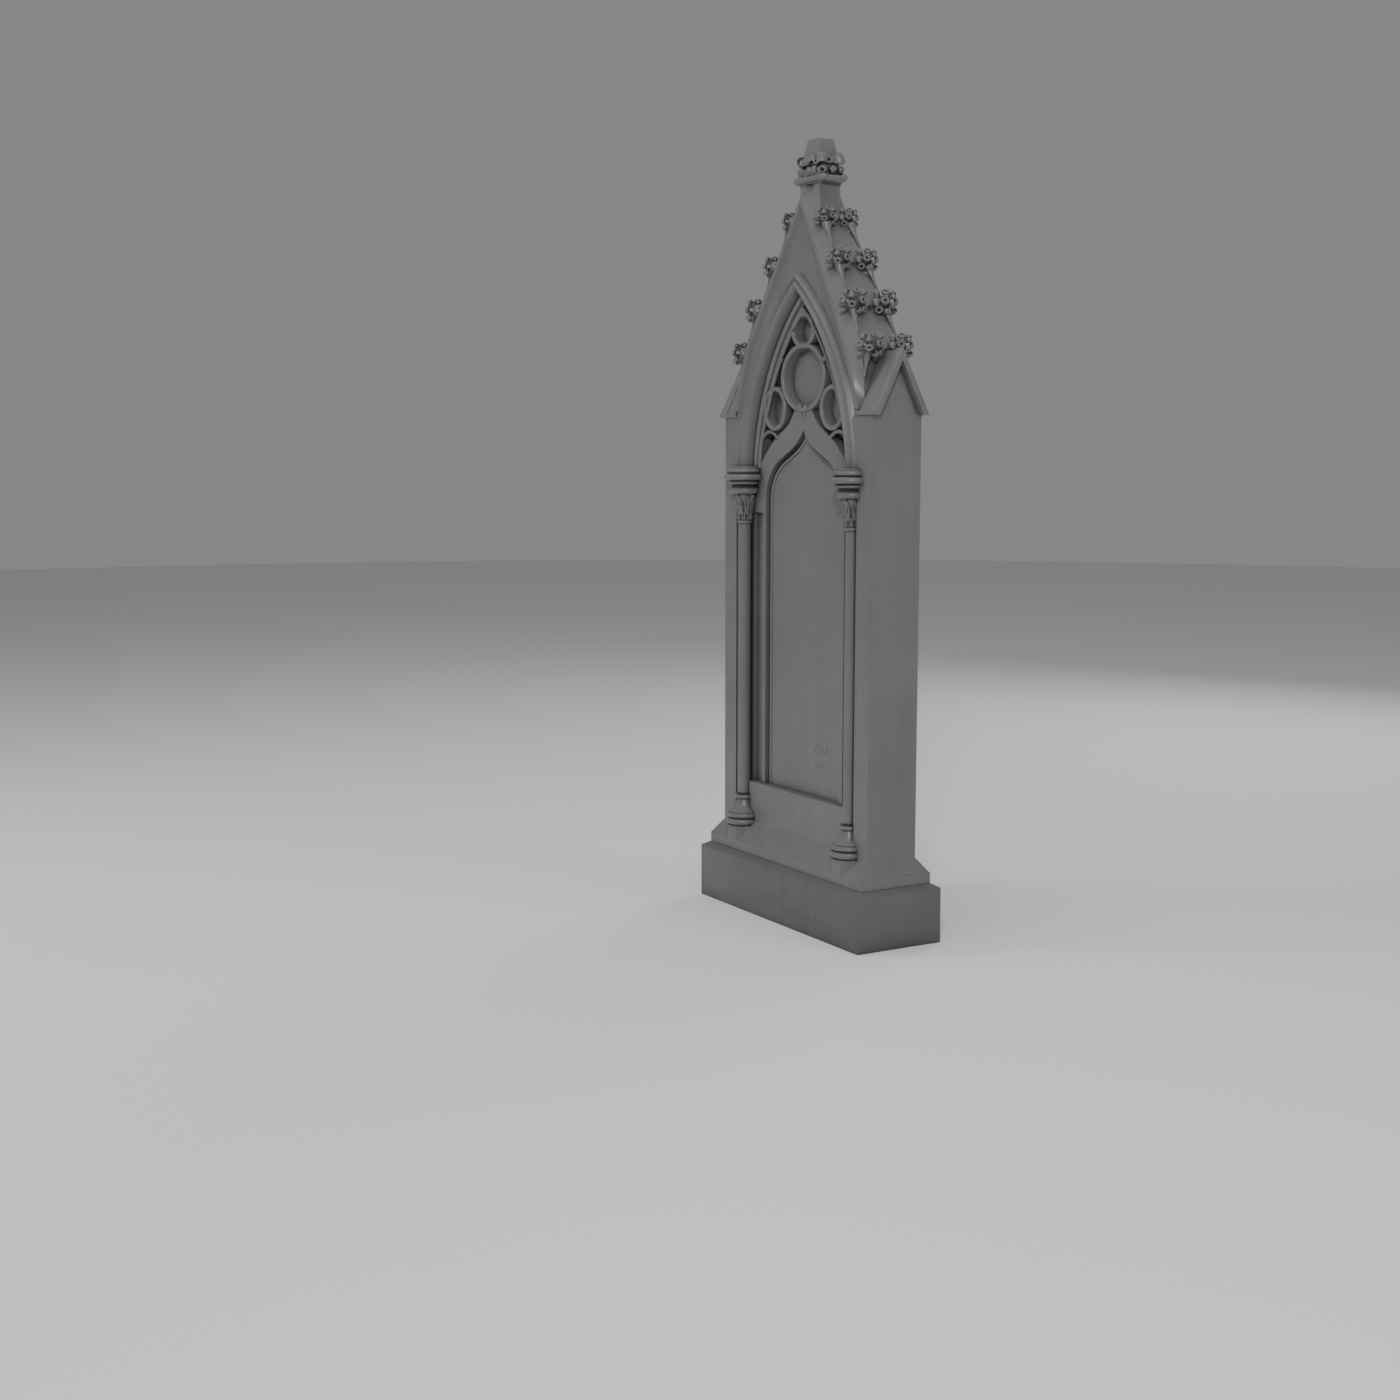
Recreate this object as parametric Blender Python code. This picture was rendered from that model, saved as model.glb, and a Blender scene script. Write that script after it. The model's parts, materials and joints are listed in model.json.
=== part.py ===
"""A gothic headstone: plinth, carved stone with niche, tracery and crocketed spire, and two shafts.

Metres, +Z up. The origin is the centre of the underside, and the carved front faces -Y.
"""

from math import acos, asin, cos, exp, pi, radians, sin, sqrt, tan, tanh

import bmesh
import bpy
from mathutils import Vector

for old in list(bpy.data.objects):
    bpy.data.objects.remove(old, do_unlink=True)

# Joints between separate stones, and how far a carved form runs into what carries it
JOINT_GAP = 0.0003
BITE = 0.004

# Plinth, a plain block with a weathered top
PLINTH_WIDTH = 0.6844
PLINTH_DEPTH = 0.2272
PLINTH_HEIGHT = 0.1262
PLINTH_WEATHERING = 0.0104

# Step and weathering at the foot of the carved stone
STEP_WIDTH = 0.6524
STEP_DEPTH = 0.1888
STEP_HEIGHT = 0.0223
STEP_WEATHERING = 0.0351

# Die, the upright slab
DIE_WIDTH = 0.6136
DIE_DEPTH = 0.1320
DIE_HEIGHT = 0.9867

# End gablets above the die, with an overhanging verge and an eave roll
GABLET_RISE = 0.1390
GABLET_OVERHANG = 0.0204
GABLET_EAVE_OUT = 0.0041
VERGE_INSET = 0.0070
VERGE_THICKNESS = 0.0120
VERGE_RAISE = 0.0025
EAVE_ROLL_RADIUS = 0.0050
EAVE_ROLL_RISE = 0.0070

# Front and back gables, leaning in towards the top
GABLE_APEX_RISE = 0.4905
GABLE_FOOT_RISE = 0.0145
GABLE_BREAK_HALF = 0.1800
GABLE_EASE = 0.1300
GABLE_PROUD = 0.0036
GABLE_LEAN = 0.0505
GABLE_LEAN_START = 0.1690
COPING_WIDTH = 0.0100
COPING_HOLLOW = 0.0090
COPING_RELIEF = 0.0110
FIELD_SILL = 0.0350

# Spire between the gables
SPIRE_SLOPE = 0.6270
SPIRE_NECK_HALF = 0.0536
SPIRE_NECK_RISE = 0.4590
SPIRE_FOOT_HALF = 0.2600
SPIRE_BREAK_HALF = 0.2150
HIP_DEPTH_AT_NECK = 0.0333
HIP_DEPTH_SLOPE = 0.0619
HIP_DEPTH_AT_FOOT = 0.0530

# Neck, roll, leafy band and the broken stump of the finial
NECK_WAIST_HALF = 0.0400
NECK_WAIST_DEPTH = 0.0290
NECK_TOP_HALF = 0.0455
NECK_TOP_DEPTH = 0.0328
NECK_HEIGHT = 0.0630
ROLL_HALF = 0.0625
ROLL_DEPTH = 0.0350
ROLL_RADIUS = 0.0080
LEAF_BAND_HEIGHT = 0.0480
LEAF_BAND_HALF = 0.0470
LEAF_BAND_DEPTH = 0.0255
LEAF_RADIUS = 0.0115
LEAF_ROWS = 2
STUMP_FOOT_HALF = 0.0300
STUMP_FOOT_DEPTH = 0.0260
STUMP_TOP_HALF = 0.0235
STUMP_TOP_DEPTH = 0.0201
STUMP_HEIGHT = 0.0330
CORNER_EASE = 0.0030

# Crockets up the four hips, from the lowest level to the highest
CROCKET_FIRST_RISE = 0.1495
CROCKET_PITCH = 0.0970
CROCKET_WIDTH = (0.0290, 0.0290, 0.0250, 0.0220)
CROCKET_TALL = (0.0330, 0.0330, 0.0280, 0.0250)
CROCKET_OUT = (0.0150, 0.0040, 0.0010, -0.0020)
CROCKET_SET_BACK = (0.0140, 0.0050, 0.0040, 0.0040)
CROCKET_LOBES = 3
CROCKET_RELIEF = 0.2800
STEM_RADIUS = 0.0120
STEM_TIP_RADIUS = 0.0030
STEM_LENGTH = 0.0600

# Niche, its sill and its jambs
NICHE_HALF = 0.2465
NICHE_SINK = 0.0235
FACE_EDGE_HALF = 0.2545
FACE_REBATE = 0.0035
SILL_RISE = 0.1072
SILL_BACK = 0.0105
SLOT_HALF = 0.2080
SLOT_INNER_HALF = 0.1720
SLOT_TOP_DROP = 0.1096
PANEL_SINK = 0.0105
JAMB_SHAFT_RADIUS = 0.0060
JAMB_SHAFT_HALF = 0.1660
JAMB_CAPITAL_RADIUS = 0.0085
JAMB_CAPITAL_HEIGHT = 0.0260

# Hood arch and the two rolls inside it
ARCH_RADIUS = 0.5750
ARCH_HALF_SPAN = 0.2217
ARCH_CENTRE_DROP = 0.0395
ARCH_PROUD = 0.0075
HOOD_WIDTH = 0.0226
HOOD_FLANK = 0.0110
HOOD_FALL = 0.0060
HOOD_APEX_SHARE = 0.5500
HOOD_NARROWING = 0.2400
REVEAL_WIDTH = 0.0140
OUTER_ROLL_RADIUS = 0.0075
OUTER_ROLL_INSET = 0.0200
INNER_ROLL_RADIUS = 0.0045
INNER_ROLL_INSET = 0.0345

# Ogee band round the head of the panel, springing below the arch's centres
PANEL_HALF = 0.1585
OGEE_SPRING_DROP = 0.0396
OGEE_LOW_RADIUS = 0.1060
OGEE_STRAIGHT = 0.0560
OGEE_HIGH_RADIUS = 0.1280
OGEE_SLOPE = 26.6
OGEE_TIP_SLOPE = 57.0
OGEE_BAND = 0.0550
PANEL_ROLL_RADIUS = 0.0040
PANEL_ROLL_INSET = 0.0085

# Blind tracery. Each ring is its half-width, half-height, centre out, and rise above the arch's centres
TRACERY_DEPTH = 0.0310
DISC_SINK = 0.0225
RING_BAR = 0.0060
BIG_RING = (0.0858, 0.0730, 0.0000, 0.2431)
TOP_RING = (0.0430, 0.0360, 0.0000, 0.3501)
SIDE_RING = (0.0430, 0.0430, 0.1194, 0.1721)
CUSP_START = 0.1000
CUSP_END = 0.1740
CUSP_RISE = 0.1064
CUSP_ARCH = 0.0090
CUSP_RADIUS = 0.0050
CUSP_STEPS = 5

# Faint worn marks: rows of shallow strokes, as middle, height, slant and width
STROKE_SINK = 0.0008
STROKE_WIDTH = 0.0016
PLINTH_MARKS = (0.0450, 0.0200, 0.2600, 11)
PLINTH_MARKS_START = 0.0450
PANEL_MARKS = (0.3980, 0.0420, 0.0280, 4)
PANEL_MARKS_START = 0.0580

# Colonnettes
COLUMN_OUT = 0.2265
COLUMN_BURY = 0.0070
PEDESTAL_SPAN = 0.0860
PEDESTAL_SIDES = 8
SHAFT_RADIUS = 0.0152
SHAFT_FOOT = 0.0767
SHAFT_LENGTH = 0.6570

# Mouldings of the colonnettes: radius, then height above the pedestal or above the shaft
BASE_PROFILE = (
    (0.0400, 0.0000),
    (0.0440, 0.0045),
    (0.0440, 0.0130),
    (0.0390, 0.0180),
    (0.0430, 0.0235),
    (0.0400, 0.0320),
    (0.0290, 0.0395),
    (0.0202, 0.0480),
    (0.0188, 0.0600),
    (0.0225, 0.0640),
    (0.0225, 0.0735),
)
CAPITAL_PROFILE = (
    (0.0185, 0.0010),
    (0.0185, 0.0060),
    (0.0166, 0.0100),
    (0.0172, 0.0250),
    (0.0195, 0.0480),
    (0.0262, 0.0710),
    (0.0380, 0.0755),
    (0.0390, 0.0835),
    (0.0355, 0.0890),
    (0.0290, 0.0910),
    (0.0390, 0.0955),
    (0.0390, 0.1010),
    (0.0500, 0.1050),
    (0.0515, 0.1110),
    (0.0480, 0.1165),
    (0.0420, 0.1195),
    (0.0450, 0.1235),
    (0.0450, 0.1310),
)
CAPITAL_TOP = (0.0390, 0.1364)

# Fineness of the facets
COLUMN_SIDES = 16
RING_SIDES = 22
ARCH_STEPS = 9
RAKE_STEPS = 5
ROD_SIDES = 6

# Levels, stacked from the ground
Z_STEP = PLINTH_HEIGHT + PLINTH_WEATHERING + JOINT_GAP
Z_STEP_TOP = Z_STEP + STEP_HEIGHT
Z_DIE = Z_STEP_TOP + STEP_WEATHERING
Z_EAVES = Z_DIE + DIE_HEIGHT
Z_RIDGE = Z_EAVES + GABLET_RISE
Z_SILL = Z_DIE + SILL_RISE
Z_SHAFT = Z_DIE + SHAFT_FOOT
Z_SHAFT_TOP = Z_SHAFT + SHAFT_LENGTH
Z_CAPITAL_TOP = Z_SHAFT_TOP + CAPITAL_TOP[1]
Z_ARCH = Z_CAPITAL_TOP - ARCH_CENTRE_DROP
Z_OGEE = Z_ARCH - OGEE_SPRING_DROP
Z_SLOT_TOP = Z_CAPITAL_TOP - SLOT_TOP_DROP
Z_APEX = Z_EAVES + GABLE_APEX_RISE
Z_NECK = Z_EAVES + SPIRE_NECK_RISE
Z_ROLL = Z_NECK + NECK_HEIGHT + ROLL_RADIUS
Z_LEAVES = Z_ROLL + ROLL_RADIUS
Z_STUMP = Z_LEAVES + LEAF_BAND_HEIGHT
Z_TOP = Z_STUMP + STUMP_HEIGHT

# Planes, as distances in front of the middle of the slab
FACE = DIE_DEPTH / 2
STEP_FACE = STEP_DEPTH / 2
SILL_FACE = FACE - SILL_BACK
WALL = FACE - NICHE_SINK
PANEL = WALL - PANEL_SINK
POCKET = WALL - TRACERY_DEPTH
COLUMN_AXIS = FACE - COLUMN_BURY
AIR = STEP_FACE + BITE


def stone(name, colour, roughness):
    """A plain stone material."""
    material = bpy.data.materials.new(name)
    material.use_nodes = True
    shader = material.node_tree.nodes["Principled BSDF"]
    shader.inputs["Base Color"].default_value = (*colour, 1.0)
    shader.inputs["Roughness"].default_value = roughness
    shader.inputs["Metallic"].default_value = 0.0
    return material


def solid(name, points, faces):
    """An object from points and faces, with its faces turned outwards."""
    mesh = bpy.data.meshes.new(name)
    work = bmesh.new()
    corners = [work.verts.new(p) for p in points]
    for face in faces:
        work.faces.new([corners[i] for i in face])
    bmesh.ops.recalc_face_normals(work, faces=work.faces)
    work.to_mesh(mesh)
    work.free()
    made = bpy.data.objects.new(name, mesh)
    bpy.context.scene.collection.objects.link(made)
    return made


def loft(name, rings):
    """A solid through rings of equal length, capped at both ends."""
    count = len(rings[0])
    points = [p for ring in rings for p in ring]
    faces = []
    for i in range(len(rings) - 1):
        here = i * count
        there = here + count
        for j in range(count):
            k = (j + 1) % count
            faces.append((here + j, here + k, there + k, there + j))
    faces.append(tuple(range(count)))
    faces.append(tuple(range(len(points) - count, len(points))))
    return solid(name, points, faces)


def prism(name, outline, front, back):
    """An outline in X and Z, run through from one distance in front to another."""
    return loft(name, [[(x, -y, z) for x, z in outline] for y in (front, back)])


def prism_along_x(name, outline, start, end):
    """An outline in Y and Z, run along X."""
    return loft(name, [[(x, y, z) for y, z in outline] for x in (start, end)])


def turned(name, profile, x, y, base, sides=COLUMN_SIDES):
    """A turned solid from pairs of radius and height, about an upright axis."""
    rings = []
    for radius, height in profile:
        turns = [2 * pi * (i + 0.5) / sides for i in range(sides)]
        rings.append([(x + radius * cos(t), y + radius * sin(t), base + height) for t in turns])
    return loft(name, rings)


def sweep(name, path, profile, shares=None):
    """A profile of (outward, forward) pairs, carried along a path that bends in X and Z.

    Each share, where given, narrows what the profile has on the outer side at its point of the path.
    """
    rings = []
    last = len(path) - 1
    flat = [Vector((p[0], p[2])) for p in path]
    for i, here in enumerate(path):
        into = (flat[max(i, 1)] - flat[max(i, 1) - 1]).normalized()
        out = (flat[min(i + 1, last)] - flat[min(i, last - 1)]).normalized()
        along = (into + out).normalized()
        normal = Vector((-along.y, along.x))
        stretch = 1 / normal.dot(Vector((-into.y, into.x)))
        ring = []
        for outward, forward in profile:
            share = shares[i] if shares and outward > 0 else 1.0
            side = normal * outward * stretch * share
            ring.append((here[0] + side.x, here[1] - forward, here[2] + side.y))
        rings.append(ring)
    return loft(name, rings)


def rod(radius, outward, forward):
    """A round profile for sweep."""
    turns = [2 * pi * (i + 0.5) / ROD_SIDES for i in range(ROD_SIDES)]
    return [(outward + radius * cos(t), forward + radius * sin(t)) for t in turns]


def merge(target, others, operation):
    """Joins other solids to one, or cuts them out of it, one after another."""
    for other in others:
        step = target.modifiers.new("step", "BOOLEAN")
        step.solver = "EXACT"
        step.operation = operation
        step.object = other
        view = bpy.context.evaluated_depsgraph_get()
        done = bpy.data.meshes.new_from_object(target.evaluated_get(view))
        target.modifiers.clear()
        target.data = done
        bpy.data.objects.remove(other, do_unlink=True)
    return target


def both_sides(right):
    """An outline from its left foot over the top to its right foot, from its right-hand half."""
    return [(-x, z) for x, z in right] + right[-2::-1]


def at_depth(outline, forward):
    """Points in X and Z, placed at a distance in front of the middle."""
    return [(x, -forward, z) for x, z in outline]


def gable_front(z):
    """How far the coping stands in front of the middle of the slab."""
    return FACE + GABLE_PROUD - GABLE_LEAN * max(0.0, z - Z_EAVES - GABLE_LEAN_START)


def rake_half(z):
    """Half the width of the gable at a height: straight above, drawn in at its foot."""
    straight = SPIRE_SLOPE * (Z_APEX - z)
    past = straight - GABLE_BREAK_HALF
    if past <= 0:
        return straight
    return GABLE_BREAK_HALF + GABLE_EASE * (1 - exp(-past / GABLE_EASE))


def hip_half(z):
    """Half the width of the spire at a height: straight above, upright at its foot."""
    straight = SPIRE_NECK_HALF + SPIRE_SLOPE * (Z_NECK - z)
    past = straight - SPIRE_BREAK_HALF
    if past <= 0:
        return straight
    spare = SPIRE_FOOT_HALF - SPIRE_BREAK_HALF
    return SPIRE_BREAK_HALF + spare * tanh(past / spare)


def hip_depth(z):
    """Half the depth of the spire at its hips."""
    return min(HIP_DEPTH_AT_NECK + HIP_DEPTH_SLOPE * (Z_NECK - z), HIP_DEPTH_AT_FOOT)


def rake_points(inset, foot):
    """The gable's outline, moved in by inset, from its left foot over the apex to its right foot."""
    aside = inset * sqrt(1 + SPIRE_SLOPE ** 2)
    turn = Z_APEX - GABLE_BREAK_HALF / SPIRE_SLOPE
    right = []
    for i in range(RAKE_STEPS + 1):
        z = foot + (turn - foot) * i / RAKE_STEPS
        right.append((rake_half(z) - aside, z))
    right.append((0.0, Z_APEX - aside / SPIRE_SLOPE))
    return both_sides(right)


def arch_points(inset):
    """The hood's curve, moved in by inset, from its left springing over the apex to its right."""
    radius = ARCH_RADIUS - inset
    centre = ARCH_HALF_SPAN - ARCH_RADIUS
    start = asin(ARCH_CENTRE_DROP / radius)
    end = acos(-centre / radius)
    right = []
    for i in range(ARCH_STEPS + 1):
        turn = start + (end - start) * i / ARCH_STEPS
        right.append((max(0.0, centre + radius * cos(turn)), Z_ARCH + radius * sin(turn)))
    return both_sides(right)


def arch_path(forward):
    """The hood's curve at a distance in front of the middle, its feet run into the capitals."""
    curve = arch_points(0.0)
    feet = Z_CAPITAL_TOP - BITE
    return at_depth([(curve[0][0], feet)] + curve + [(curve[-1][0], feet)], forward)


def ogee_points(inset, foot, steps=4):
    """The ogee's outline, moved in by inset, from its left foot over the tip to its right foot."""
    low = OGEE_LOW_RADIUS - inset
    high = OGEE_HIGH_RADIUS + inset
    slope = radians(OGEE_SLOPE)
    tip = radians(OGEE_TIP_SLOPE)
    centre = PANEL_HALF - OGEE_LOW_RADIUS
    right = [(PANEL_HALF - inset, foot)]
    for i in range(steps + 1):
        turn = (pi / 2 - slope) * i / steps
        right.append((centre + low * cos(turn), Z_OGEE + low * sin(turn)))
    x = right[-1][0] - OGEE_STRAIGHT * cos(slope)
    z = right[-1][1] + OGEE_STRAIGHT * sin(slope)
    for i in range(steps + 1):
        turn = slope + (tip - slope) * i / steps
        out = x - high * (sin(turn) - sin(slope))
        if out > BITE:
            right.append((out, z + high * (cos(slope) - cos(turn))))
    right.append((0.0, right[-1][1] + right[-1][0] * tan(tip)))
    return both_sides(right)


def rectangle(half_x, half_y, z, ease=0.0):
    """Eight points round a rectangle, with its corners taken off by ease."""
    cut_x = half_x - ease
    cut_y = half_y - ease
    quarter = [(cut_x, -half_y), (half_x, -cut_y), (half_x, cut_y), (cut_x, half_y)]
    return [(x, y, z) for x, y in quarter] + [(-x, -y, z) for x, y in quarter]


def base_plinth():
    """The bottom block, with its top weathered up to the step."""
    rings = [
        rectangle(PLINTH_WIDTH / 2, PLINTH_DEPTH / 2, 0.0)[::2],
        rectangle(PLINTH_WIDTH / 2, PLINTH_DEPTH / 2, PLINTH_HEIGHT)[::2],
        rectangle(STEP_WIDTH / 2, STEP_FACE, PLINTH_HEIGHT + PLINTH_WEATHERING)[::2],
    ]
    block = loft("base_plinth", rings)
    return merge(block, marks(PLINTH_MARKS, PLINTH_MARKS_START, PLINTH_DEPTH / 2), "DIFFERENCE")


def slab():
    """Step, weathering and die."""
    rings = [
        rectangle(STEP_WIDTH / 2, STEP_FACE, Z_STEP)[::2],
        rectangle(STEP_WIDTH / 2, STEP_FACE, Z_STEP_TOP)[::2],
        rectangle(DIE_WIDTH / 2, FACE, Z_DIE)[::2],
        rectangle(DIE_WIDTH / 2, FACE, Z_EAVES + EAVE_ROLL_RISE)[::2],
    ]
    return loft("headstone_body", rings)


def spire():
    """Gables, sloping faces, hips, neck, roll, leaf core and stump, as one loft."""
    rings = []
    foot = Z_EAVES + GABLE_FOOT_RISE
    turn = Z_APEX - GABLE_BREAK_HALF / SPIRE_SLOPE
    levels = [Z_EAVES - BITE, Z_EAVES + EAVE_ROLL_RISE - JOINT_GAP]
    levels += [foot + (turn - foot) * i / RAKE_STEPS for i in range(RAKE_STEPS + 1)]
    for z in levels + [Z_NECK]:
        front = gable_front(z) if z >= foot else FACE - BITE
        hip = hip_half(z)
        rake = min(rake_half(z), hip - JOINT_GAP)
        deep = hip_depth(z)
        quarter = [(rake, -front), (hip, -deep), (hip, deep), (rake, front)]
        rings.append([(x, y, z) for x, y in quarter] + [(-x, -y, z) for x, y in quarter])
    tip = (JOINT_GAP, gable_front(Z_APEX))
    wide = (NECK_WAIST_HALF + CORNER_EASE / 2, NECK_WAIST_DEPTH)
    quarter = [(tip[0], -tip[1]), (wide[0], -wide[1]), wide, tip]
    rings.append([(x, y, Z_APEX) for x, y in quarter] + [(-x, -y, Z_APEX) for x, y in quarter])
    scoop = Z_APEX + NECK_HEIGHT / 5
    rings.append(rectangle(NECK_WAIST_HALF, NECK_WAIST_DEPTH, scoop, CORNER_EASE))
    rings.append(rectangle(NECK_TOP_HALF, NECK_TOP_DEPTH, Z_ROLL - ROLL_RADIUS, CORNER_EASE))
    for tilt in (-0.35 * pi, -0.12 * pi, 0.12 * pi, 0.35 * pi):
        back = ROLL_RADIUS * (1 - cos(tilt))
        height = Z_ROLL + ROLL_RADIUS * sin(tilt)
        rings.append(rectangle(ROLL_HALF - back, ROLL_DEPTH - back, height, CORNER_EASE))
    rings.append(rectangle(LEAF_BAND_HALF, LEAF_BAND_DEPTH, Z_LEAVES, CORNER_EASE))
    rings.append(rectangle(LEAF_BAND_HALF, LEAF_BAND_DEPTH, Z_STUMP - LEAF_BAND_HEIGHT / 3, CORNER_EASE))
    rings.append(rectangle(STUMP_FOOT_HALF, STUMP_FOOT_DEPTH, Z_STUMP, CORNER_EASE))
    rings.append(rectangle(STUMP_TOP_HALF, STUMP_TOP_DEPTH, Z_TOP, CORNER_EASE))
    return loft("spire", rings)


def field_cut(face):
    """What is sunk between the copings of one gable, with a sloping flank and foot."""
    low = Z_EAVES + GABLE_FOOT_RISE - FIELD_SILL
    outer = rake_points(COPING_WIDTH, low)
    inner = rake_points(COPING_WIDTH + COPING_HOLLOW, low + FIELD_SILL)
    rings = [
        [(x, -face * AIR, z) for x, z in outer],
        [(x, -face * gable_front(z), z) for x, z in outer],
        [(x, -face * (gable_front(z) - COPING_RELIEF), z) for x, z in inner],
    ]
    return loft("field", rings)


def gablet(side):
    """The saddleback roof over one end of the die, with its verge."""
    reach = FACE + GABLET_EAVE_OUT
    end = DIE_WIDTH / 2
    roof = [(-reach, Z_EAVES), (0.0, Z_RIDGE), (reach, Z_EAVES)]
    inner = [(-FACE + BITE, Z_EAVES - BITE), roof[0], roof[1], roof[2], (FACE - BITE, Z_EAVES - BITE)]
    start = SPIRE_FOOT_HALF - SPIRE_BREAK_HALF
    body = prism_along_x("gablet", inner, side * start, side * end)
    slope = GABLET_RISE / reach
    low = Z_EAVES - JOINT_GAP
    band = [
        (-reach - VERGE_RAISE, low),
        (0.0, Z_RIDGE + VERGE_RAISE * slope),
        (reach + VERGE_RAISE, low),
        (reach - VERGE_THICKNESS, low),
        (0.0, Z_RIDGE - VERGE_THICKNESS * slope),
        (-reach + VERGE_THICKNESS, low),
    ]
    verge = prism_along_x("verge", band, side * (end - VERGE_INSET), side * (end + GABLET_OVERHANG))
    return [body, verge]


def eave_roll(side, face):
    """The roll along the eave, from the gable's foot to the corner."""
    turns = [2 * pi * i / 8 for i in range(8)]
    centre_y = face * (FACE + GABLET_EAVE_OUT - EAVE_ROLL_RADIUS / 2)
    centre_z = Z_EAVES + EAVE_ROLL_RISE / 2
    ring = [(centre_y + EAVE_ROLL_RADIUS * cos(t), centre_z + EAVE_ROLL_RADIUS * sin(t)) for t in turns]
    start = FACE_EDGE_HALF - BITE
    end = DIE_WIDTH / 2 + GABLET_OVERHANG - CORNER_EASE
    return prism_along_x("eave", ring, side * start, side * end)


def hood():
    """The hood mould: a hollow between two arrises, a flank outside and a bold roll inside."""
    deep = FACE + ARCH_PROUD - WALL
    profile = [(-REVEAL_WIDTH, -deep)]
    for i in range(1, 5):
        turn = pi / 2 * i / 4
        profile.append((-REVEAL_WIDTH * cos(turn), -deep * (1 - sin(turn))))
    profile += [
        (HOOD_WIDTH / 2, -HOOD_FALL),
        (HOOD_WIDTH, -HOOD_FALL / 2),
        (HOOD_WIDTH + HOOD_FLANK, -ARCH_PROUD - HOOD_FLANK),
        (HOOD_WIDTH + HOOD_FLANK, -deep - BITE),
        (-REVEAL_WIDTH, -deep - BITE),
    ]
    path = arch_path(FACE + ARCH_PROUD)
    apex = max(point[2] for point in path)
    shares = []
    for point in path:
        near = max(0.0, 1 - (apex - point[2]) / HOOD_NARROWING)
        shares.append(1 - (1 - HOOD_APEX_SHARE) * near)
    return sweep("hood", path, profile, shares)


def arch_rolls():
    """The two round mouldings that follow the arch inside the hood."""
    path = arch_path(WALL)
    outer = sweep("outer_roll", path, rod(OUTER_ROLL_RADIUS, -OUTER_ROLL_INSET, 0.0))
    inner = sweep("inner_roll", path, rod(INNER_ROLL_RADIUS, -INNER_ROLL_INSET, 0.0))
    return [outer, inner]


def niche_cuts():
    """What is taken out of the slab for the niche, its sill, the jamb slots and the panel."""
    rise = STEP_WEATHERING / (STEP_FACE - FACE)
    low = Z_DIE + (FACE - SILL_FACE) * rise
    edge = Z_STEP_TOP + BITE * rise
    outline = [
        (-STEP_FACE + BITE, edge),
        (-SILL_FACE, low),
        (-SILL_FACE, Z_SILL),
        (-WALL, Z_SILL),
        (-WALL, Z_CAPITAL_TOP - BITE),
        (-AIR, Z_CAPITAL_TOP - BITE),
        (-AIR, edge),
    ]
    niche = prism_along_x("niche", outline, -NICHE_HALF, NICHE_HALF)
    rebate = block_between(
        (-FACE_EDGE_HALF, -AIR, Z_DIE + FACE_REBATE * rise),
        (FACE_EDGE_HALF, -FACE + FACE_REBATE, Z_CAPITAL_TOP - BITE),
    )
    arch = arch_points(BITE)
    feet = Z_CAPITAL_TOP - 2 * BITE
    head = prism("head", [(arch[0][0], feet)] + arch + [(arch[-1][0], feet)], AIR, WALL)
    cuts = [rebate, niche, head]
    for side in (-1, 1):
        near = min(side * SLOT_INNER_HALF, side * SLOT_HALF)
        far = max(side * SLOT_INNER_HALF, side * SLOT_HALF)
        cuts.append(block_between((near, -AIR, Z_SILL), (far, -PANEL, Z_SLOT_TOP)))
        room = SHAFT_RADIUS + 2 * JOINT_GAP
        socket = ((room, -BITE / 2), (room, Z_SILL - Z_SHAFT + BITE))
        cuts.append(turned("socket", socket, side * COLUMN_OUT, -COLUMN_AXIS, Z_SHAFT))
    cuts.append(prism("panel", ogee_points(0.0, Z_SILL), AIR, PANEL))
    return cuts


def block_between(low, high):
    """A box between two corners."""
    outline = [(low[0], low[2]), (high[0], low[2]), (high[0], high[2]), (low[0], high[2])]
    return prism("block", outline, -low[1], -high[1])


def tracery_pocket():
    """The deep ground behind the tracery bars, bounded by the arch and the ogee band."""
    edge = arch_points(INNER_ROLL_INSET + INNER_ROLL_RADIUS / 4)
    pocket = prism("pocket", edge, AIR, POCKET)
    band = prism("band", ogee_points(-OGEE_BAND, Z_OGEE - OGEE_BAND), AIR + BITE, POCKET - BITE)
    half_x, half_z, out, rise = BIG_RING
    turns = [2 * pi * (i + 0.5) / RING_SIDES for i in range(RING_SIDES)]
    disc = [(out + half_x * cos(t), Z_ARCH + rise + half_z * sin(t)) for t in turns]
    merge(band, [prism("disc", disc, AIR + 2 * BITE, POCKET - 2 * BITE)], "DIFFERENCE")
    return merge(pocket, [band], "DIFFERENCE")


def ring(size, side=1):
    """One tracery ring: a bar with a rounded front, and a blind disc inside it."""
    half_x, half_z, out, rise = size
    profile = [
        (RING_BAR, POCKET - BITE),
        (RING_BAR, WALL - JOINT_GAP),
        (RING_BAR * 0.6, WALL + RING_BAR * 0.6),
        (-RING_BAR * 0.2, WALL + RING_BAR * 0.8),
        (-RING_BAR, WALL),
        (-RING_BAR * 1.3, WALL - DISC_SINK),
    ]
    turns = [2 * pi * i / RING_SIDES for i in range(RING_SIDES)]
    rings = []
    for wide, forward in profile:
        level = []
        for t in turns:
            x = side * out + (half_x + wide) * cos(t)
            level.append((x, -forward, Z_ARCH + rise + (half_z + wide) * sin(t)))
        rings.append(level)
    return loft("ring", rings)


def cusp(side):
    """The arched bar under a side ring, which closes the pocket beside the ogee's haunch."""
    path = []
    for i in range(CUSP_STEPS + 1):
        along = i / CUSP_STEPS
        x = CUSP_START + (CUSP_END - CUSP_START) * along
        path.append((side * x, Z_ARCH + CUSP_RISE + CUSP_ARCH * sin(pi * along)))
    path = path if side > 0 else path[::-1]
    return sweep("cusp", at_depth(path, WALL - CUSP_RADIUS / 2), rod(CUSP_RADIUS, 0.0, 0.0))


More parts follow.
